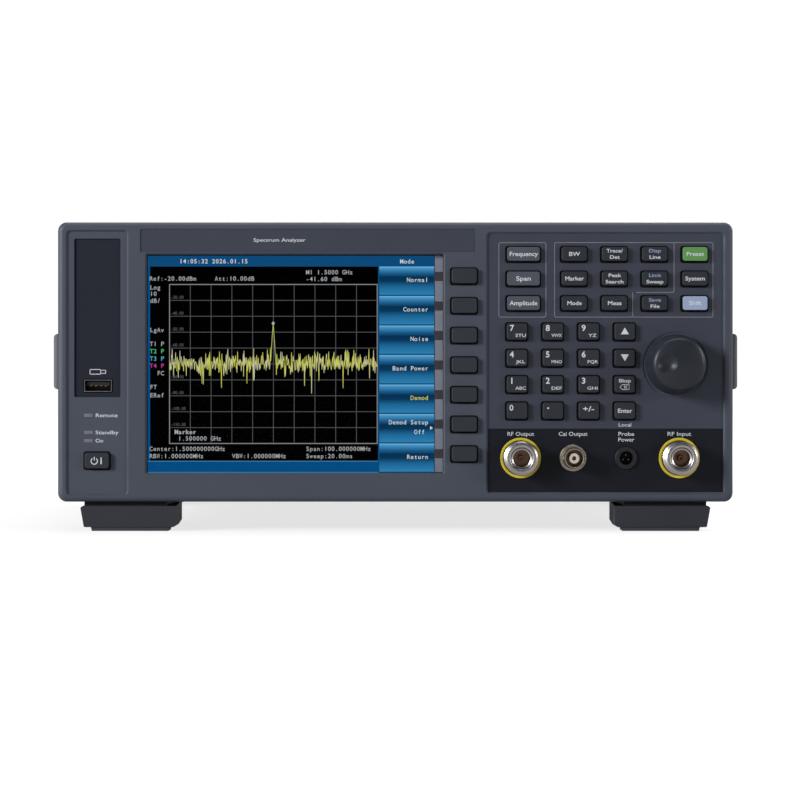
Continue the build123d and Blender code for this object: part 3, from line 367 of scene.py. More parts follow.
class Piece:
    """Gathers shapes in millimetres and writes them as one object."""

    def __init__(self, name):
        self.name = name
        self.mesh = bmesh.new()
        self.materials = []

    def index(self, finish):
        """The number of a finish in this piece, which takes it in if it is new."""
        if finish not in self.materials:
            self.materials.append(finish)
        return self.materials.index(finish)

    def faces(self, points, faces, finish, smooth=False):
        """Takes in faces given by the numbers of their points."""
        corners = [self.mesh.verts.new(p) for p in points]
        number = self.index(finish)
        for face in faces:
            new = self.mesh.faces.new([corners[i] for i in face])
            new.material_index = number
            new.smooth = smooth

    def prism(self, outline, front, back, finish):
        """An outline in X and Z, between two y planes."""
        n = len(outline)
        points = [(x, front, z) for x, z in outline] + [(x, back, z) for x, z in outline]
        faces = [list(range(n)), list(range(2 * n - 1, n - 1, -1))]
        faces += [(i, i + n, (i + 1) % n + n, (i + 1) % n) for i in range(n)]
        self.faces(points, faces, finish)

    def frame(self, outer, inner, front, back, finish):
        """The area between two outlines of as many points, between two y planes."""
        n = len(outer)
        points = [(x, front, z) for x, z in outer] + [(x, front, z) for x, z in inner]
        points += [(x, back, z) for x, z in outer] + [(x, back, z) for x, z in inner]
        faces = []
        for i in range(n):
            j = (i + 1) % n
            faces += [(i, j, n + j, n + i), (2 * n + i, 3 * n + i, 3 * n + j, 2 * n + j),
                      (i, 2 * n + i, 2 * n + j, j), (n + i, n + j, 3 * n + j, 3 * n + i)]
        self.faces(points, faces, finish)

    def line(self, path, width, front, back, finish, closed=False):
        """A flat line of a given width along a path in X and Z."""
        path = [Vector(p) for p in path]
        n = len(path)
        left, right = [], []
        for i, here in enumerate(path):
            before = path[i - 1] if closed or i else here
            after = path[(i + 1) % n] if closed or i < n - 1 else here
            along = (after - before).normalized()
            side = Vector((-along.y, along.x)) * width / 2
            left.append(here + side)
            right.append(here - side)
        if closed:
            self.frame(left, right, front, back, finish)
        else:
            self.prism(left + right[::-1], front, back, finish)

    def bar(self, start, end, width, front, back, finish):
        """A straight stroke with square ends."""
        start, end = Vector(start), Vector(end)
        along = (end - start).normalized() * width / 2
        side = Vector((-along.y, along.x))
        corners = (start - along - side, end + along - side, end + along + side, start - along + side)
        self.prism([tuple(c) for c in corners], front, back, finish)

    def lathe(self, profile, x, z, seat, out, finish, steps=48, smooth=True):
        """A profile of (radius, distance from the seat) turned about an axis along Y. out is -1 or 1."""
        points, rows = [], []
        for radius, distance in profile:
            y = seat + out * distance
            if radius < 1e-6:
                rows.append([len(points)] * steps)
                points.append((x, y, z))
                continue
            rows.append(list(range(len(points), len(points) + steps)))
            for i in range(steps):
                angle = 2 * math.pi * i / steps
                points.append((x + radius * math.cos(angle), y, z + radius * math.sin(angle)))
        faces = []
        for low, high in zip(rows, rows[1:]):
            for i in range(steps):
                j = (i + 1) % steps
                face = [low[i], low[j], high[j], high[i]]
                face = [v for k, v in enumerate(face) if v not in face[:k]]
                if len(face) > 2:
                    faces.append(face)
        self.faces(points, faces, finish, smooth)

    def add(self, shape, finish):
        """Takes in a finished mesh, which is then deleted."""
        before = len(self.mesh.faces)
        self.mesh.from_mesh(shape)
        self.mesh.faces.ensure_lookup_table()
        number = self.index(finish)
        for face in self.mesh.faces[before:]:
            face.material_index = number
            face.smooth = False
        bpy.data.meshes.remove(shape)

    def typed(self, text, x, z, y, cap, pitch, finish):
        """Fixed-width lettering that starts at x."""
        turn = Matrix.Rotation(math.radians(90), 4, "X")
        for i, char in enumerate(text):
            if char == " ":
                continue
            shape = glyph(char).copy()
            squeeze = min(cap, 0.88 * pitch / span(shape, 0))
            place = Matrix.Translation((x + (i + 0.5) * pitch, y, z))
            shape.transform(place @ turn @ Matrix.Diagonal((squeeze, cap, 1, 1)))
            self.add(shape, finish)

    def text(self, text, x, z, y, cap, finish, width=None, weight=0.02, facing=-1, align="CENTER"):
        """Lettering that faces the front (-1) or the rear (1), with the middle of its capitals at x and z."""
        shape = letter_mesh(text, cap, width, weight, TEXT_DEPTH, align)
        turn = Matrix.Rotation(math.radians(90), 4, "X")
        if facing > 0:
            turn = Matrix.Rotation(math.radians(180), 4, "Z") @ turn
        shape.transform(Matrix.Translation((x, y, z)) @ turn)
        self.add(shape, finish)

    def finish(self, body, slot=None, sharp=38):
        """Writes the piece in metres and makes it ride on a body."""
        bmesh.ops.recalc_face_normals(self.mesh, faces=self.mesh.faces)
        bmesh.ops.scale(self.mesh, vec=(MM, MM, MM), verts=self.mesh.verts)
        data = bpy.data.meshes.new(self.name)
        self.mesh.to_mesh(data)
        self.mesh.free()
        for finish in self.materials:
            data.materials.append(finish)
        data.set_sharp_from_angle(angle=math.radians(sharp))
        made = bpy.data.objects.new(self.name, data)
        bpy.context.scene.collection.objects.link(made)
        if body:
            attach(made, body)
        return made


# ---------- finishes of the CAD pieces
def paint(node, base, *rules):
    """Gives a CAD piece its finish. Each rule is a finish and a test on a face's centre and its normal."""
    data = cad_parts[node].data
    data.materials.clear()
    for finish in (base, *(finish for finish, _ in rules)):
        data.materials.append(finish)
    for face in data.polygons:
        centre = face.center / MM
        face.material_index = 0
        for number, (_, test) in enumerate(rules, 1):
            if test(centre, face.normal):
                face.material_index = number
                break


def inside(centre, area, grow=0.2):
    """Whether a face's centre is in an area given by its x limits and height limits."""
    x0, x1, h0, h1 = area
    height = centre.z - FLOOR_GAP
    return x0 - grow < centre.x < x1 + grow and h0 - grow < height < h1 + grow


def on_plane(y, area):
    """A test for the faces that lie on one plane within an area."""
    return lambda centre, normal: abs(centre.y - y) < 0.04 and inside(centre, area)


def near(x, height, reach, y0, y1):
    """A test for the faces within reach of a point on the front or rear."""
    return lambda c, n: y0 < c.y < y1 and abs(c.x - x) < reach and abs(c.z - FLOOR_GAP - height) < reach


PLAIN_FINISH = {
    "case_sleeve": case_paint, "rear_panel": rear_paint, "chassis": tray_metal, "strap_caps": cap_paint,
    "fasteners": steel, "fan_frame": fan_plastic, "fan_rotor": fan_plastic, "power_rocker": black_plastic,
    "tilt_stand_left": wire_paint, "tilt_stand_right": wire_paint, "rf_module": receiver_metal,
}


def paint_frame():
    """Every CAD piece but the keys. The tests tell a piece's parts apart by where they lie."""
    for node, finish in PLAIN_FINISH.items():
        paint(node, finish)
    paint("front_bezel", bezel_paint,
          (bay_paint, on_plane(BAY, KEY_BAY)),
          (insert_paint, on_plane(INSERT_FLOOR, PORT_INSERT)),
          (plate_paint, on_plane(PLATE_FLOOR, JACK_PLATE)),
          (nameplate_paint, on_plane(NAMEPLATE_FACE, NAMEPLATE)))
    paint("display", black_plastic, (window_glass, lambda c, n: c.y < -179.0))
    paint("feet", foot_paint, (pad_rubber, lambda c, n: c.z < 1.79 or (c.z < 1.81 and n.z > 0.5)))
    paint("knob", knob_paint, (steel, near(*KNOB_AT, 2.7, -181, -160)))
    paint("power_supply", tray_metal,
          (board_mask, lambda c, n: c.z < FLOOR_GAP + 15.7),
          (chip_epoxy, lambda c, n: c.x < -105))
    paint("circuit_boards", board_mask,
          (lamp_lens, lambda c, n: abs(c.x - LAMP_X) < 2.4 and c.y < -174.2),
          (steel, near(*KNOB_AT, 6.5, -190, -174.2)),
          (tin_can, lambda c, n: c.z > BOARD_TOP and c.y > 66),
          (chip_epoxy, lambda c, n: c.z > BOARD_TOP))
    paint("panel_sockets", black_plastic,
          (port_rim, near(*USB_AT, 7.5, -185, BAY + 0.6)),
          # painted shade inside the memory port
          (port_inside_shade, near(*USB_AT, 7.5, BAY + 0.6, -160)),
          (steel, near(*LAN_AT, 8.5, REAR_SEAT - 0.5, 190)),
          (steel, near(*USB_B_AT, 7, REAR_SEAT - 0.5, 190)),
          (monitor_blue, lambda c, n: abs(c.x - VGA_AT[0]) < 9 and c.y > REAR_SEAT + 5.3),
          (steel, near(*VGA_AT, 16, 160, 190)))


KEY_FINISH = {
    "key_frequency": main_key_paint, "key_span": main_key_paint, "key_amplitude": main_key_paint,
    "key_preset": green_key_paint, "key_shift": blue_key_paint,
    **{f"softkey_{number}": softkey_paint for number in range(1, SOFTKEYS + 1)},
}


def key_nodes():
    return [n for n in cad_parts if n.startswith(("key_", "softkey_"))]


def key_shade_mask(depth):
    """A test for the faces painted with shade: a key's rounded edges and its sides, which start at a depth.
    """
    return lambda c, n: c.y > depth or n.y > -0.75


def paint_keys():
    """Keys carry their colour on the face; their rounded edges and sides are painted dark, as painted shade.
    """
    for node in key_nodes():
        low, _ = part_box(node)
        paint(node, KEY_FINISH.get(node, key_paint), (key_side_shade, key_shade_mask(low.y / MM + 0.52)))


def key_slot_shadows():
    """Painted shadow round the keys: dark liners down in the gaps, and dark edges on the panel round the
    gaps, wider at the left and below.
    """
    piece = Piece("key_slot_shadows")
    for node in key_nodes():
        low, high = (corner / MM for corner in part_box(node))
        panel = low.y + KEY_RISE

        def outline(grow, shift=0.0):
            grow -= KEY_LIP
            return rounded(low.x - grow - shift, high.x + grow - shift, low.z - grow - shift,
                           high.z + grow - shift, KEY_CORNER)

        # Painted shadow: a dark liner a little way down in the gap.
        piece.frame(outline(KEY_GAP), outline(0.1), panel + 0.2, panel + 0.5, slot_shadow_paint)
        # Painted shadow on the panel round the gap, shifted to the left and down.
        piece.frame(outline(KEY_GAP + 0.26, 0.14), outline(KEY_GAP), panel - 0.02, panel + 0.01, slot_shadow_paint)
    return piece.finish(BODY)


# ---------- key legends
KEY_WORDS = {                        # word, height of its capitals, its width
    "key_frequency": ("Frequency", 2.0, 13.4), "key_span": ("Span", 2.0, 6.9),
    "key_amplitude": ("Amplitude", 2.0, 13.2), "key_bandwidth": ("BW", 1.85, 5.2),
    "key_preset": ("Preset", 1.85, 8.2), "key_marker": ("Marker", 1.85, 8.8),
    "key_system": ("System", 1.85, 9.2), "key_mode": ("Mode", 1.85, 6.8),
    "key_measure": ("Meas", 1.85, 6.4), "key_shift": ("Shift", 1.85, 6.0),
    "key_enter": ("Enter", 1.9, 6.8),
}
KEY_PAIRS = {                        # upper word, its width and ink, then the lower word and its width
    "key_trace": ("Trace/", 7.8, ink, "Det", 4.6),
    "key_display": ("Disp", 5.6, shift_ink, "Line", 5.2),
    "key_peak": ("Peak", 6.0, ink, "Search", 8.4),
    "key_sweep": ("Limit", 5.8, shift_ink, "Sweep", 8.0),
    "key_file": ("Save", 6.0, shift_ink, "File", 4.4),
}
KEY_LETTERS = dict(zip("123456789", ("ABC", "DEF", "GHI", "JKL", "MNO", "PQR", "STU", "VWX", "YZ")))


def printed(face, depth=0.03):
    """Front and back y of ink that stands a hair out of a face."""
    return face - 0.03, face + depth


def key_legend(node):
    """The printed words and signs of one key."""
    low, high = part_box(node)
    x, z = (low.x + high.x) / 2 / MM, (low.z + high.z) / 2 / MM
    face = low.y / MM
    piece = Piece(f"legend_{node}")
    digit = node[4:]
    if node in KEY_WORDS:
        word, cap, width = KEY_WORDS[node]
        piece.text(word, x, z, face, cap, ink, width)
    elif node in KEY_PAIRS:
        upper, upper_width, upper_ink, lower, lower_width = KEY_PAIRS[node]
        piece.text(upper, x, z + 1.5, face, 1.6, upper_ink, upper_width)
        piece.text(lower, x, z - 1.5, face, 1.6, ink, lower_width)
    elif digit in KEY_LETTERS:
        piece.text(digit, x - 2.5, z + 1.7, face, 2.7, ink, None, 0.03)
        piece.text(KEY_LETTERS[digit], x + 1.7, z - 1.8, face, 1.45, ink, 4.9, 0.012)
    elif node == "key_0":
        piece.text("0", x - 2.7, z + 1.4, face, 2.6, ink)
    elif node == "key_sign":
        piece.text("+/-", x - 0.2, z + 0.9, face, 2.3, ink, 6.1)
    elif node == "key_point":
        piece.prism(circle(x - 2.3, z + 1.2, 0.42, 16), *printed(face), ink)
    elif node in ("key_up", "key_down"):
        way = 1 if node == "key_up" else -1
        base, tip = z - 1.5 * way + 0.2, z + 1.7 * way + 0.2
        piece.prism([(x - 1.9 * way, base), (x + 1.9 * way, base), (x, tip)], *printed(face), ink)
    elif node == "key_backspace":
        piece.text("Bksp", x, z + 1.7, face, 1.6, ink, 5.6)
        backspace_sign(piece, x, z - 1.3, face)
    elif node == "key_power":
        power_sign(piece, x - 1.2, z - 0.2, face)
        piece.prism(rounded(x + 1.75, x + 2.3, z - 1.7, z + 1.5, 0.1, 2), *printed(face), ink)
    return piece.finish(node)


def power_sign(piece, x, z, face, radius=1.5):
    """An open ring with a tick in its gap."""
    sweep = [math.radians(125 + 290 * i / 30) for i in range(31)]
    ring = [(x + radius * math.cos(a), z + radius * math.sin(a)) for a in sweep]
    piece.line(ring, 0.42, *printed(face), ink)
    piece.bar((x, z + 0.5), (x, z + radius + 0.3), 0.42, *printed(face), ink)


def backspace_sign(piece, x, z, face):
    """A box with a pointed left end and a cross in it."""
    low, high = z - 1.15, z + 1.15
    box = [(x - 2.3, z), (x - 1.2, high), (x + 2.0, high), (x + 2.0, low), (x - 1.2, low)]
    piece.line(box, 0.28, *printed(face), ink, closed=True)
    for way in (-1, 1):
        piece.bar((x - 0.3, z - 0.6 * way), (x + 0.9, z + 0.6 * way), 0.28, *printed(face), ink)


# ---------- printing on the panels
LINE = 0.34                          # width of the printed lines


def panel_printing():
    """Thin outlines round the key groups, and the plain words beside the lamps and jacks."""
    piece = Piece("panel_printing")
    h = FLOOR_GAP
    low, step, high = h + 87.5, h + 99.2, h + 122.8
    left, notch, fold, right = 75.4, 112.4, 132.0, 150.4
    corner, panel = 0.9, printed(BAY, 0.02)

    piece.line(rounded(49.0, 71.3, low, high, corner), LINE, *panel, dim_ink, closed=True)
    middle_group = [(notch, step), (fold, step), (fold, high), (left, high), (left, low), (notch, low),
                    (notch, step), (notch + 1.6, step)]
    right_group = [(fold, high), (right, high), (right, low), (notch, low)]
    for group in (middle_group, right_group):
        piece.line(curved_corners(group, corner), LINE, *panel, dim_ink)

    for height, word, width in zip(LAMP_HEIGHTS, ("Remote", "Standby", "On"), (10.3, 10.9, 3.6)):
        piece.text(word, LAMP_X + 3.3, h + height, BAY, 1.7, ink, width, 0.008, align="LEFT")
    piece.text("Spectrum Analyzer", -54.9, h + 124.0, NAMEPLATE_FACE, 1.6, ink, 24.6, 0.008)
    piece.text("Local", 108.7, h + 36.5, BAY, 1.6, ink, 5.9, 0.008)

    for word, x, height, width in (("RF Output", TYPE_N_X[0], 32.2, 12.6), ("Cal Output", BNC_X, 32.2, 13.6),
                                   ("Probe", PROBE_X, 32.2, 7.4), ("Power", PROBE_X, 29.5, 7.6),
                                   ("RF Input", TYPE_N_X[1], 32.2, 11.2)):
        piece.text(word, x, h + height, PLATE_FLOOR, 1.8, ink, width, 0.008)

    memory_sign(piece, USB_AT[0] - 0.2, h + 61.6, INSERT_FLOOR)
    return piece.finish(BODY)


def memory_sign(piece, x, z, face):
    """A plain sign of a memory stick, over its port."""
    body = rounded(x - 3.6, x + 1.4, z - 1.1, z + 1.1, 0.4, 3)
    plug = rounded(x + 1.6, x + 3.8, z - 0.75, z + 0.75, 0.1, 2)
    piece.line(body, LINE, *printed(face, 0.02), ink, closed=True)
    piece.line(plug, 0.3, *printed(face, 0.02), ink, closed=True)


def rear_printing():
    """A word over each rear socket."""
    piece = Piece("rear_printing")
    above = FLOOR_GAP + 10.5
    for x, word in zip(REAR_BNC_X, ("REF IN", "REF OUT", "TRIG IN")):
        piece.text(word, x, REAR_BNC_H + above, REAR_SEAT, 1.9, ink, 18, facing=1)
    for (x, height), word in ((LAN_AT, "LAN"), (USB_B_AT, "USB"), (VGA_AT, "MONITOR")):
        piece.text(word, x, height + above, REAR_SEAT, 1.9, ink, 20, facing=1)
    return piece.finish(BODY)


# ---------- the display's picture
PICTURE = (-117.5, 18.4, 13.6, 116.7)
PLOT = (-107.2, -8.6, 27.6, 103.1)
DIVISIONS = 10
MENU_LEFT = -7.6
STATUS_TOP = 19.2                    # top of the blue bar under the plot
LAYER = 0.03                         # thickness of a layer of the picture


def layer(number):
    """Front and back y of one of the picture's thin layers."""
    back = LCD - 0.01 - number * LAYER
    return back - LAYER * 0.8, back


def display_picture():
    """The lit picture, in thin layers: black, bars and menu, grid, trace, words."""
    piece = Piece("display_picture")
    h = FLOOR_GAP
    x0, x1, z0, z1 = PICTURE[0], PICTURE[1], PICTURE[2] + h, PICTURE[3] + h
    edge, top, bar = MENU_LEFT - 0.6, h + MENU_TOP, h + STATUS_TOP

    def area(left, right, low, high, number, finish):
        piece.prism(rectangle(left, right, low, high), *layer(number), finish)

    area(x0, x1, z0, z1, 0, lit_black)
    area(x0, x1, top, z1, 1, lit_header)
    area(x0, x0 + 1.1, z0, top, 1, lit_bar)
    area(x0, edge, z0, bar, 1, lit_bar)
    area(x0, edge, bar - 0.2, bar + 0.2, 2, lit_edge)
    area(x0, edge, z0 + 0.1, z0 + 0.5, 2, lit_edge)
    area(edge, MENU_LEFT, z0, top, 1, lit_header)
    area(MENU_LEFT, x1, z0, top, 2, lit_menu)
    grid(piece)
    trace(piece)
    picture_words(piece)
    return piece.finish(BODY)


def grid(piece):
    """The plot's frame and its divisions."""
    left, right, low, high = PLOT[0], PLOT[1], PLOT[2] + FLOOR_GAP, PLOT[3] + FLOOR_GAP
    for i in range(1, DIVISIONS):
        x = left + (right - left) * i / DIVISIONS
        z = low + (high - low) * i / DIVISIONS
        piece.bar((x, low), (x, high), 0.3, *layer(1), lit_grid)
        piece.bar((left, z), (right, z), 0.3, *layer(1), lit_grid)
    outer = rounded(left - 0.2, right + 0.2, low - 0.2, high + 0.2, 0.05, 1)
    inner = rounded(left + 0.2, right - 0.2, low + 0.2, high - 0.2, 0.05, 1)
    piece.frame(outer, inner, *layer(2), lit_frame)


NOISE_H, NOISE_SPREAD = 65.9, 2.5
PEAK_X, PEAK_H = -58.0, 84.2
TRACE_STEPS = 620


def trace(piece):
    """A noise floor with a few deep dips and one carrier."""
    chance = random.Random(11)
    points = []
    for i in range(TRACE_STEPS + 1):
        x = PLOT[0] + (PLOT[1] - PLOT[0]) * i / TRACE_STEPS
        level = NOISE_H + chance.gauss(0, NOISE_SPREAD)
        if chance.random() < 0.035:
            level -= chance.uniform(4, 12)
        away = abs(x - PEAK_X)
        if away < 2.6:
            level = max(level, PEAK_H - 20 * (away / 1.3) ** 1.2)
        points.append((x, min(level, PEAK_H) + FLOOR_GAP))
    for start, end in zip(points, points[1:]):
        piece.bar(start, end, 0.23, *layer(3), lit_pale if chance.random() < 0.3 else lit_yellow)
    z = PEAK_H + FLOOR_GAP + 0.4
    diamond = [(PEAK_X - 0.8, z), (PEAK_X, z - 1.1), (PEAK_X + 0.8, z), (PEAK_X, z + 1.1)]
    piece.prism(diamond, *layer(4), lit_white)


TYPE_CAP, TYPE_PITCH = 2.0, 1.72
SIDE_COLOURS = (lit_white, lit_green, lit_cyan, lit_magenta)
SIDE_WORDS = (("Log", 101.7, 0), ("10", 98.7, 0), ("dB/", 95.4, 0), ("LgAv", 81.5, 0), ("T1 P", 74.9, 0),
              ("T2 P", 71.4, 1), ("T3 P", 67.9, 2), ("T4 P", 64.5, 3), ("  FC", 61.0, 0), ("FT", 54.4, 0),
              ("ERef", 50.5, 0))
READINGS = (("Ref:-20.00dBm", -116.8, 105.9), ("Att:10.00dB", -85.8, 105.9), ("M1 1.5000 GHz", -42.5, 108.9),
            ("-41.60 dBm", -42.5, 105.7), ("1.500000 GHz", -103.2, 30.0),
            ("Center:1.500000000GHz", -116.8, 25.1), ("RBW:1.000000MHz", -116.8, 21.65),
            ("VBW:1.000000MHz", -77.6, 21.65), ("Span:100.000000MHz", -42.5, 25.1),
            ("Sweep:20.00ms", -42.5, 21.65))
MENU_LABELS = ("Normal", "Counter", "Noise", "Band Power", "Demod", "Demod Setup", "Return")


def picture_words(piece):
    """Plain settings and readings round the plot, and the softkeys' labels."""
    y = sum(layer(4)) / 2

    def words(text, x, height, finish, cap=TYPE_CAP, pitch=TYPE_PITCH):
        piece.typed(text, x, height + FLOOR_GAP, y, cap, pitch, finish)

    words("14:05:32 2026.01.15", -102.6, 114.1, lit_bright)
    for text, x, height in READINGS:
        words(text, x, height, lit_white)
    for text, height, colour in SIDE_WORDS:
        words(text, -116.6, height, SIDE_COLOURS[colour])
    step = (PLOT[3] - PLOT[2]) / DIVISIONS
    for i in range(1, DIVISIONS):
        words(f"-{20 + 10 * i}.00", PLOT[0] + 0.7, PLOT[3] - step * i + 1.5, lit_dim, 1.45, 1.0)
    for shift in (0, 0.18):
        words("Marker", -104.9 + shift, 33.1, lit_white)

    words("Mode", 5.6 - 2 * TYPE_PITCH, 114.05, lit_bright)
    for i, label in enumerate(MENU_LABELS):
        colour = lit_yellow if label == "Demod" else lit_bright
        drop = 3.9 if label == "Demod Setup" else 6.3
        words(label, 15.7 - len(label) * TYPE_PITCH, MENU_TOP - i * MENU_PITCH - drop, colour)
    setup = MENU_TOP - MENU_LABELS.index("Demod Setup") * MENU_PITCH
    words("Off", 14.0 - 3 * TYPE_PITCH, setup - 8.5, lit_bright)
    z = setup - 6.6 + FLOOR_GAP
    piece.prism([(16.5, z - 0.9), (17.8, z), (16.5, z + 0.9)], *layer(4), lit_bright)


def pointer_strip():
    """The printed strip between the picture and the softkeys, with a gap beside each key."""
    piece = Piece("pointer_strip")
    x0, x1, low, high = 18.8, 22.5, WINDOW[2] + 0.3, WINDOW[3] - 0.3
    margin, half_gap = 0.2, 2.2

    def area(left, right, bottom, top, front, finish):
        piece.prism(rectangle(left, right, FLOOR_GAP + bottom, FLOOR_GAP + top), front, front + 0.04, finish)

    area(x0 - 0.35, x1 + 0.25, low, high, LCD - 0.06, strip_gap_paint)
    edges = [high + 0.1] + [SOFTKEY_TOP - i * SOFTKEY_PITCH for i in range(SOFTKEYS)] + [low - 0.1]
    for i, (upper, lower) in enumerate(zip(edges, edges[1:])):
        top = upper - (half_gap if i else margin)
        bottom = lower + (half_gap if i < SOFTKEYS else margin)
        area(x0, x1, bottom, top, LCD - 0.1, strip_paint)
    return piece.finish(BODY)


# ---------- jacks and sockets
def type_n_jack(x, name):
    """Threaded coaxial jack with its yellow ring, a dark annulus of painted shade inside the ring, dark bore
    and slotted centre contact.
    """
    piece = Piece(name)
    crest, root, bore, pitch = 7.94, 7.3, 4.05, 1.058

    def turned(profile, finish, steps=72):
        piece.lathe(profile, x, FLOOR_GAP + JACK_H, PLATE_FLOOR, -1, finish, steps)

    profile = [(5.0, -6.0), (7.35, -6.0), (7.35, 1.55)]
    for turn in range(8):
        d = 1.6 + turn * pitch
        profile += [(root, d + 0.06), (crest, d + 0.42), (crest, d + 0.58), (root, d + 0.96)]
    profile += [(root, 10.35), (crest, 10.75), (crest, 10.9), (7.2, 11.65), (6.5, 11.8), (5.5, 11.8),
                (5.2, 11.6), (4.7, 10.6), (bore, 10.3)]
    turned(profile, nickel)
    turned([(bore, 10.3), (bore, 2.6), (1.9, 2.6)], contact_brown)
    ring = [(9.6, 0.0), (9.6, 1.05), (9.5, 1.25), (9.3, 1.3), (8.5, 1.3), (8.35, 1.2), (8.35, 0.4)]
    turned(ring, ring_paint)
    # Painted shade: a dark annulus down in the gap between the yellow ring and the barrel.
    turned([(8.35, 0.4), (8.35, 0.7), (7.5, 0.7), (7.5, 0.4)], black_plastic)
    turned([(bore, 2.5), (bore, 3.2), (1.55, 3.2), (1.55, 2.5)], contact_brown, 48)
    turned([(1.55, 2.5), (1.55, 7.0), (1.25, 7.5), (0.85, 7.5), (0.85, 3.4), (0.0, 3.4)], contact_brown, 32)
    return piece.finish(BODY, "nickel")


def bnc_jack(x, height, seat, out, name):
    """Bayonet jack with two lugs, a white insulator and its centre contact."""
    piece = Piece(name)
    z = FLOOR_GAP + height

    def turned(profile, finish, steps):
        piece.lathe(profile, x, z, seat, out, finish, steps)

    turned([(3.9, -6.0), (5.3, -6.0), (5.3, -0.2), (6.35, 0.0), (6.35, 1.1), (6.05, 1.4), (5.2, 1.4),
            (5.05, 2.4), (4.85, 2.7), (4.85, 10.5), (4.6, 11.0), (4.3, 11.0), (4.07, 10.7)], satin_nickel, 56)
    turned([(4.07, 10.7), (4.07, 2.2), (2.4, 2.2)], contact_brown, 56)
    for side in (-1, 1):
        lug(piece, x + side * 4.7, z, seat + out * 8.2, side)
    turned([(2.45, 2.2), (2.45, 9.4), (2.3, 9.6), (1.25, 9.6), (1.0, 9.2), (1.0, 8.6)], dielectric, 40)
    turned([(1.0, 8.6), (1.0, 9.0), (0.7, 9.0), (0.7, 6.0), (0.0, 6.0)], contact_brown, 24)
    return piece.finish(BODY, "nickel")


def lug(piece, x, z, y, side, radius=1.0, reach=0.85, steps=16):
    """A short round pin that stands out to one side."""
    points, faces = [(x + side * reach, y, z)], []
    for ring_x, ring_r in ((x, radius), (x + side * (reach - 0.2), radius), (x + side * reach, radius - 0.2)):
        for i in range(steps):
            angle = 2 * math.pi * i / steps
            points.append((ring_x, y + ring_r * math.cos(angle), z + ring_r * math.sin(angle)))
    for row in range(2):
        for i in range(steps):
            a, b = 1 + row * steps + i, 1 + row * steps + (i + 1) % steps
            faces.append((a, b, b + steps, a + steps))
    faces += [(0, 1 + 2 * steps + i, 1 + 2 * steps + (i + 1) % steps) for i in range(steps)]
    piece.faces(points, faces, satin_nickel, True)


def coaxial_jacks():
    """All six jacks; together they stand for the CAD's."""
    pieces = [type_n_jack(x, f"type_n_jack_{i}") for i, x in enumerate(TYPE_N_X, 1)]
    pieces.append(bnc_jack(BNC_X, JACK_H, PLATE_FLOOR, -1, "front_bnc_jack"))
    for i, x in enumerate(REAR_BNC_X, 1):
        pieces.append(bnc_jack(x, REAR_BNC_H, REAR_SEAT, 1, f"rear_bnc_jack_{i}"))
    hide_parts("coaxial_jacks")


def contact_outline(x, z, half_x, half_z):
    return rectangle(x - half_x, x + half_x, z - half_z, z + half_z)


def memory_port_tongue(piece):
    x, z = USB_AT[0], FLOOR_GAP + USB_AT[1]
    piece.prism(rounded(x - 5.5, x + 5.5, z + 0.1, z + 1.95, 0.15, 2), BAY + 2.0, BAY + 12.3, black_plastic)
    for i in range(4):
        piece.prism(contact_outline(x - 3.5 + i * 2.33, z + 0.02, 0.5, 0.1), BAY + 2.6, BAY + 10, gold)


def probe_pins(piece):
    for turn in (90, 210, 330):
        angle = math.radians(turn)
        x, z = PROBE_X + 1.5 * math.cos(angle), FLOOR_GAP + JACK_H + 1.5 * math.sin(angle)
        piece.lathe([(0, 4.6), (0.3, 4.4), (0.4, 4.0), (0.4, -1.0)], x, z, BAY + 6.8, -1, gold, 16)


def mains_inlet_pins(piece):
    x, z = INLET_AT[0], FLOOR_GAP + INLET_AT[1]
    for px, pz in ((x - 7, z - 2), (x + 7, z - 2), (x, z + 2)):
        piece.prism(rounded(px - 1.0, px + 1.0, pz - 2.0, pz + 2.0, 0.3, 2), 166.4, 176.5, nickel)


def data_port_tongue(piece):
    x, z = USB_B_AT[0], FLOOR_GAP + USB_B_AT[1]
    piece.prism(rounded(x - 2.8, x + 2.8, z - 1.6, z + 1.6, 0.2, 2), 170.1, 178.0, ink)
    for px, pz in ((-1.2, -1.65), (1.2, -1.65), (-1.2, 1.65), (1.2, 1.65)):
        piece.prism(contact_outline(x + px, z + pz, 0.5, 0.1), 170.6, 177.4, gold)


def network_contacts(piece):
    x, z = LAN_AT[0], FLOOR_GAP + LAN_AT[1]
    for i in range(8):
        piece.prism(contact_outline(x - 3.5 + i, z + 3.6, 0.22, 0.35), 168.0, 176.0, gold)


def monitor_hole_shadows(piece):
    """Dark discs painted on the face where the holes are, as painted shade: three rows of five, the middle
    row a little to one side.
    """
    face = REAR_SEAT + 5.4
    for height, shift in ((1.9, 0), (0, -0.6), (-1.9, 0)):
        for i in range(5):
            hole = circle(VGA_AT[0] - 4.6 + i * 2.3 + shift, FLOOR_GAP + VGA_AT[1] + height, 0.45, 14)
            piece.prism(hole, face, face + 0.14, chip_epoxy)


def port_contacts():
    """What sits inside the sockets, and the painted shade of the monitor socket's holes, one piece for each
    function above.
    """
    for build in (memory_port_tongue, probe_pins, mains_inlet_pins, data_port_tongue, network_contacts,
                  monitor_hole_shadows):
        piece = Piece(build.__name__)
        build(piece)
        piece.finish(BODY)


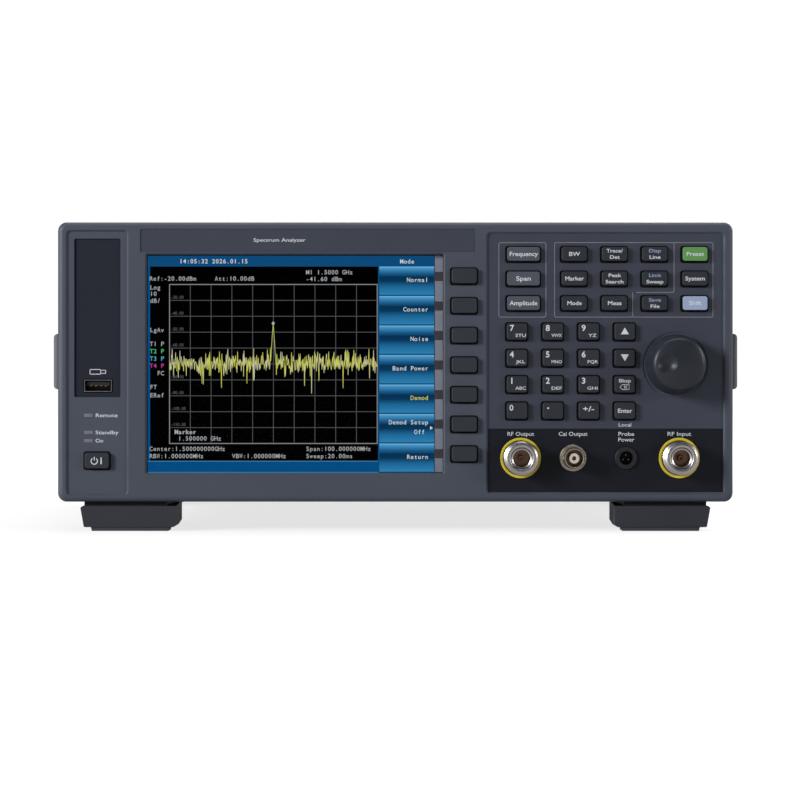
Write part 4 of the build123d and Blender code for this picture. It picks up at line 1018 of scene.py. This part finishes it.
def rocker_marks():
    """The on and off signs, each on one slope of the mains rocker."""
    piece = Piece("rocker_marks")
    pivot = Matrix.Translation((ROCKER_AT[0], 177.5, FLOOR_GAP + ROCKER_AT[1]))
    tilt = Matrix.Rotation(math.radians(10), 4, "X")
    for way in (-1, 1):
        height = way * 4.3
        sign = Piece("sign")
        if way > 0:
            sign.prism(rounded(-0.25, 0.25, height - 1.3, height + 1.3, 0.1, 2), 5.02, 5.08, ink)
        else:
            sign.frame(circle(0, height, 1.25, 24), circle(0, height, 0.8, 24), 5.02, 5.08, ink)
        middle = Matrix.Translation((0, 4.9, height))
        lean = middle @ Matrix.Rotation(math.radians(-10.44 * way), 4, "X") @ middle.inverted()
        bmesh.ops.transform(sign.mesh, matrix=pivot @ tilt @ lean, verts=sign.mesh.verts)
        shape = bpy.data.meshes.new("sign")
        sign.mesh.to_mesh(shape)
        sign.mesh.free()
        piece.add(shape, ink)
    return piece.finish("power_rocker")


# ---------- strap handles
STRAP_Y, STRAP_MIDDLE = (-136.0, 158.0), 11.0
STRAP_STEPS, STRAP_STRIPS = 147, 12  # along half a strap, and across it
STRAP_X, STRAP_T = 162.1, 2.9        # middle and thickness in the caps
GRIP_RISE, GRIP_EXTRA_T = 5.7, 1.1   # how much further out and thicker the strap is along the grip
RIB_DEPTH, RIB_PITCH = 0.5, 4.2


def ease(value):
    value = min(max(value, 0), 1)
    return value * value * (3 - 2 * value)


def strap_section(side, y, z):
    """Points round the strap at one place: outer face, then inner face."""
    bow = ease((y + 106) / 42) * ease((128 - y) / 42)
    middle = STRAP_X + GRIP_RISE * bow
    half_t = (STRAP_T + GRIP_EXTRA_T * bow) / 2
    grip = ease((y + 62) / 8) * ease((84 - y) / 8)
    rib = RIB_DEPTH * grip * (0.5 + 0.5 * math.cos(2 * math.pi * y / RIB_PITCH))
    outer, inner = [], []
    for k in range(STRAP_STRIPS + 1):
        across = STRAP_W * (k / STRAP_STRIPS - 0.5)
        edge = abs(across) / (STRAP_W / 2)
        round_off = max(0.0, (edge - 0.86) / 0.14) ** 2 * 0.75
        bead = 0.3 if 0.72 < edge < 0.93 else 0.0
        groove = rib if edge < 0.68 else 0.0
        outer.append((side * (middle + half_t - round_off - groove + (bead - 0.3) * bow), y, z + across))
        inner.append((side * (middle - half_t + round_off * 0.8), y, z + across))
    return outer + inner[::-1]


def strap_half(side, which):
    """Half of a moulded strap: thin in its cap, thick and ribbed along the grip."""
    body = f"strap_{'left' if side < 0 else 'right'}"
    piece = Piece(f"{body}_{which}")
    y0, y1 = (STRAP_Y[0], STRAP_MIDDLE) if which == "front" else (STRAP_MIDDLE, STRAP_Y[1])
    z = FLOOR_GAP + STRAP_H
    points = []
    for i in range(STRAP_STEPS + 1):
        points += strap_section(side, y0 + (y1 - y0) * i / STRAP_STEPS, z)
    half = STRAP_STRIPS + 1
    n = 2 * half
    faces = [(i * n + k, i * n + (k + 1) % n, (i + 1) * n + (k + 1) % n, (i + 1) * n + k)
             for i in range(STRAP_STEPS) for k in range(n)]
    for base in (0, STRAP_STEPS * n):
        faces += [(base + k, base + k + 1, base + n - 2 - k, base + n - 1 - k) for k in range(half - 1)]
    piece.faces(points, faces, strap_rubber, True)
    made = piece.finish(None, "strap", 50)
    if which == "front":
        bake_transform(made)
    else:
        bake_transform(made)
    return made


def strap_handles():
    """Both straps, each in a front and a rear half, with their ends in the caps."""
    for side, node in ((-1, "strap_left"), (1, "strap_right")):
        front = strap_half(side, "front")
        strap_half(side, "rear")
        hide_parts(node)


# ---------- studio
CAMERA_AT = (2.2, -1322.0, 62.05)
LENS = 108.42


def floor_paint():
    """A lit white table whose glow is weaker round the instrument, as painted shadow; it throws only part of
    its light on it.
    """
    made = material("studio_floor", (0.2, 0.2, 0.2, 1), 0.8, Emission_Color=(1, 1, 1, 1))
    tree = made.node_tree
    distance = new_node(tree, "VectorMath")
    distance.operation = "LENGTH"
    tree.links.new(new_node(tree, "TexCoord").outputs["Object"], distance.inputs[0])
    # Painted shadow: the glow is weakest near the instrument and grows out to 1.3 m.
    painted_shade_by_distance = new_node(tree, "MapRange", From_Min=0.35, From_Max=1.3, To_Min=0.75, To_Max=1.1)
    tree.links.new(distance.outputs["Value"], painted_shade_by_distance.inputs["Value"])
    share = new_node(tree, "MapRange", To_Min=0.55)
    tree.links.new(new_node(tree, "LightPath").outputs["Is Camera Ray"], share.inputs["Value"])
    product = new_node(tree, "Math")
    product.operation = "MULTIPLY"
    tree.links.new(painted_shade_by_distance.outputs["Result"], product.inputs[0])
    tree.links.new(share.outputs["Result"], product.inputs[1])
    tree.links.new(product.outputs["Value"], tree.nodes["Principled BSDF"].inputs["Emission Strength"])
    return made


def studio_world():
    """A dim sky that lights the scene, seen by the camera as plain white."""
    world = bpy.data.worlds.new("studio")
    world.use_nodes = True
    tree = world.node_tree
    light = set_inputs(tree.nodes["Background"], Color=(0.96, 0.98, 1.0, 1), Strength=0.14)
    seen = new_node(tree, "Background", Color=(1, 1, 1, 1), Strength=1.05)
    mix = new_node(tree, "MixShader")
    tree.links.new(new_node(tree, "LightPath").outputs["Is Camera Ray"], mix.inputs["Fac"])
    tree.links.new(light.outputs["Background"], mix.inputs[1])
    tree.links.new(seen.outputs["Background"], mix.inputs[2])
    tree.links.new(mix.outputs["Shader"], tree.nodes["World Output"].inputs["Surface"])
    return world


def lamp(name, place, aim, size, power):
    """A square soft light."""
    data = bpy.data.lights.new(name, "AREA")
    data.shape = "SQUARE"
    data.size = size
    data.energy = power
    made = bpy.data.objects.new(name, data)
    made.location = place
    made.rotation_euler = (Vector(aim) - Vector(place)).to_track_quat("-Z", "Y").to_euler()
    bpy.context.scene.collection.objects.link(made)


def studio_floor():
    data = bpy.data.meshes.new("studio_floor")
    reach = 9.0
    corners = [(-reach, -reach, 0), (reach, -reach, 0), (reach, reach, 0), (-reach, reach, 0)]
    data.from_pydata(corners, [], [(0, 1, 2, 3)])
    data.materials.append(floor_paint())
    floor = bpy.data.objects.new("studio_floor", data)
    bpy.context.scene.collection.objects.link(floor)


def studio():
    """Camera, sky, lamps and floor, in metres."""
    scene = bpy.context.scene
    camera = bpy.data.cameras.new("camera")
    camera.lens = LENS
    camera.sensor_width = 36
    camera.clip_end = 30
    view = bpy.data.objects.new("camera", camera)
    view.location = Vector(CAMERA_AT) * MM
    view.rotation_euler = (math.radians(90), 0, 0)
    scene.collection.objects.link(view)
    scene.camera = view
    scene.world = studio_world()
    scene.view_settings.view_transform = "Standard"

    lamp("key_light", (-2.62, -2.05, 1.02), (0.0, -0.18, 0.08), 0.9, 158)
    lamp("left_light", (-1.9, -0.35, 0.5), (-0.15, -0.1, 0.08), 0.7, 15)
    lamp("top_light", (0.1, 0.2, 1.8), (0.0, 0.0, 0.0), 1.4, 26)
    lamp("back_light", (0.9, 1.9, 1.1), (0.0, 0.1, 0.08), 1.2, 40)
    lamp("right_light", (2.0, 0.4, 0.9), (0.1, 0.0, 0.08), 1.0, 22)
    lamp("soft_fill", (2.0, -1.3, 0.6), (0.1, -0.1, 0.08), 0.5, 20)
    studio_floor()


# ---------- everything
def main():
    paint_frame()
    paint_keys()
    key_slot_shadows()
    for node in key_nodes():
        if not node.startswith("softkey"):
            key_legend(node)
    panel_printing()
    rear_printing()
    display_picture()
    pointer_strip()
    coaxial_jacks()
    port_contacts()
    rocker_marks()
    strap_handles()
    studio()


main()
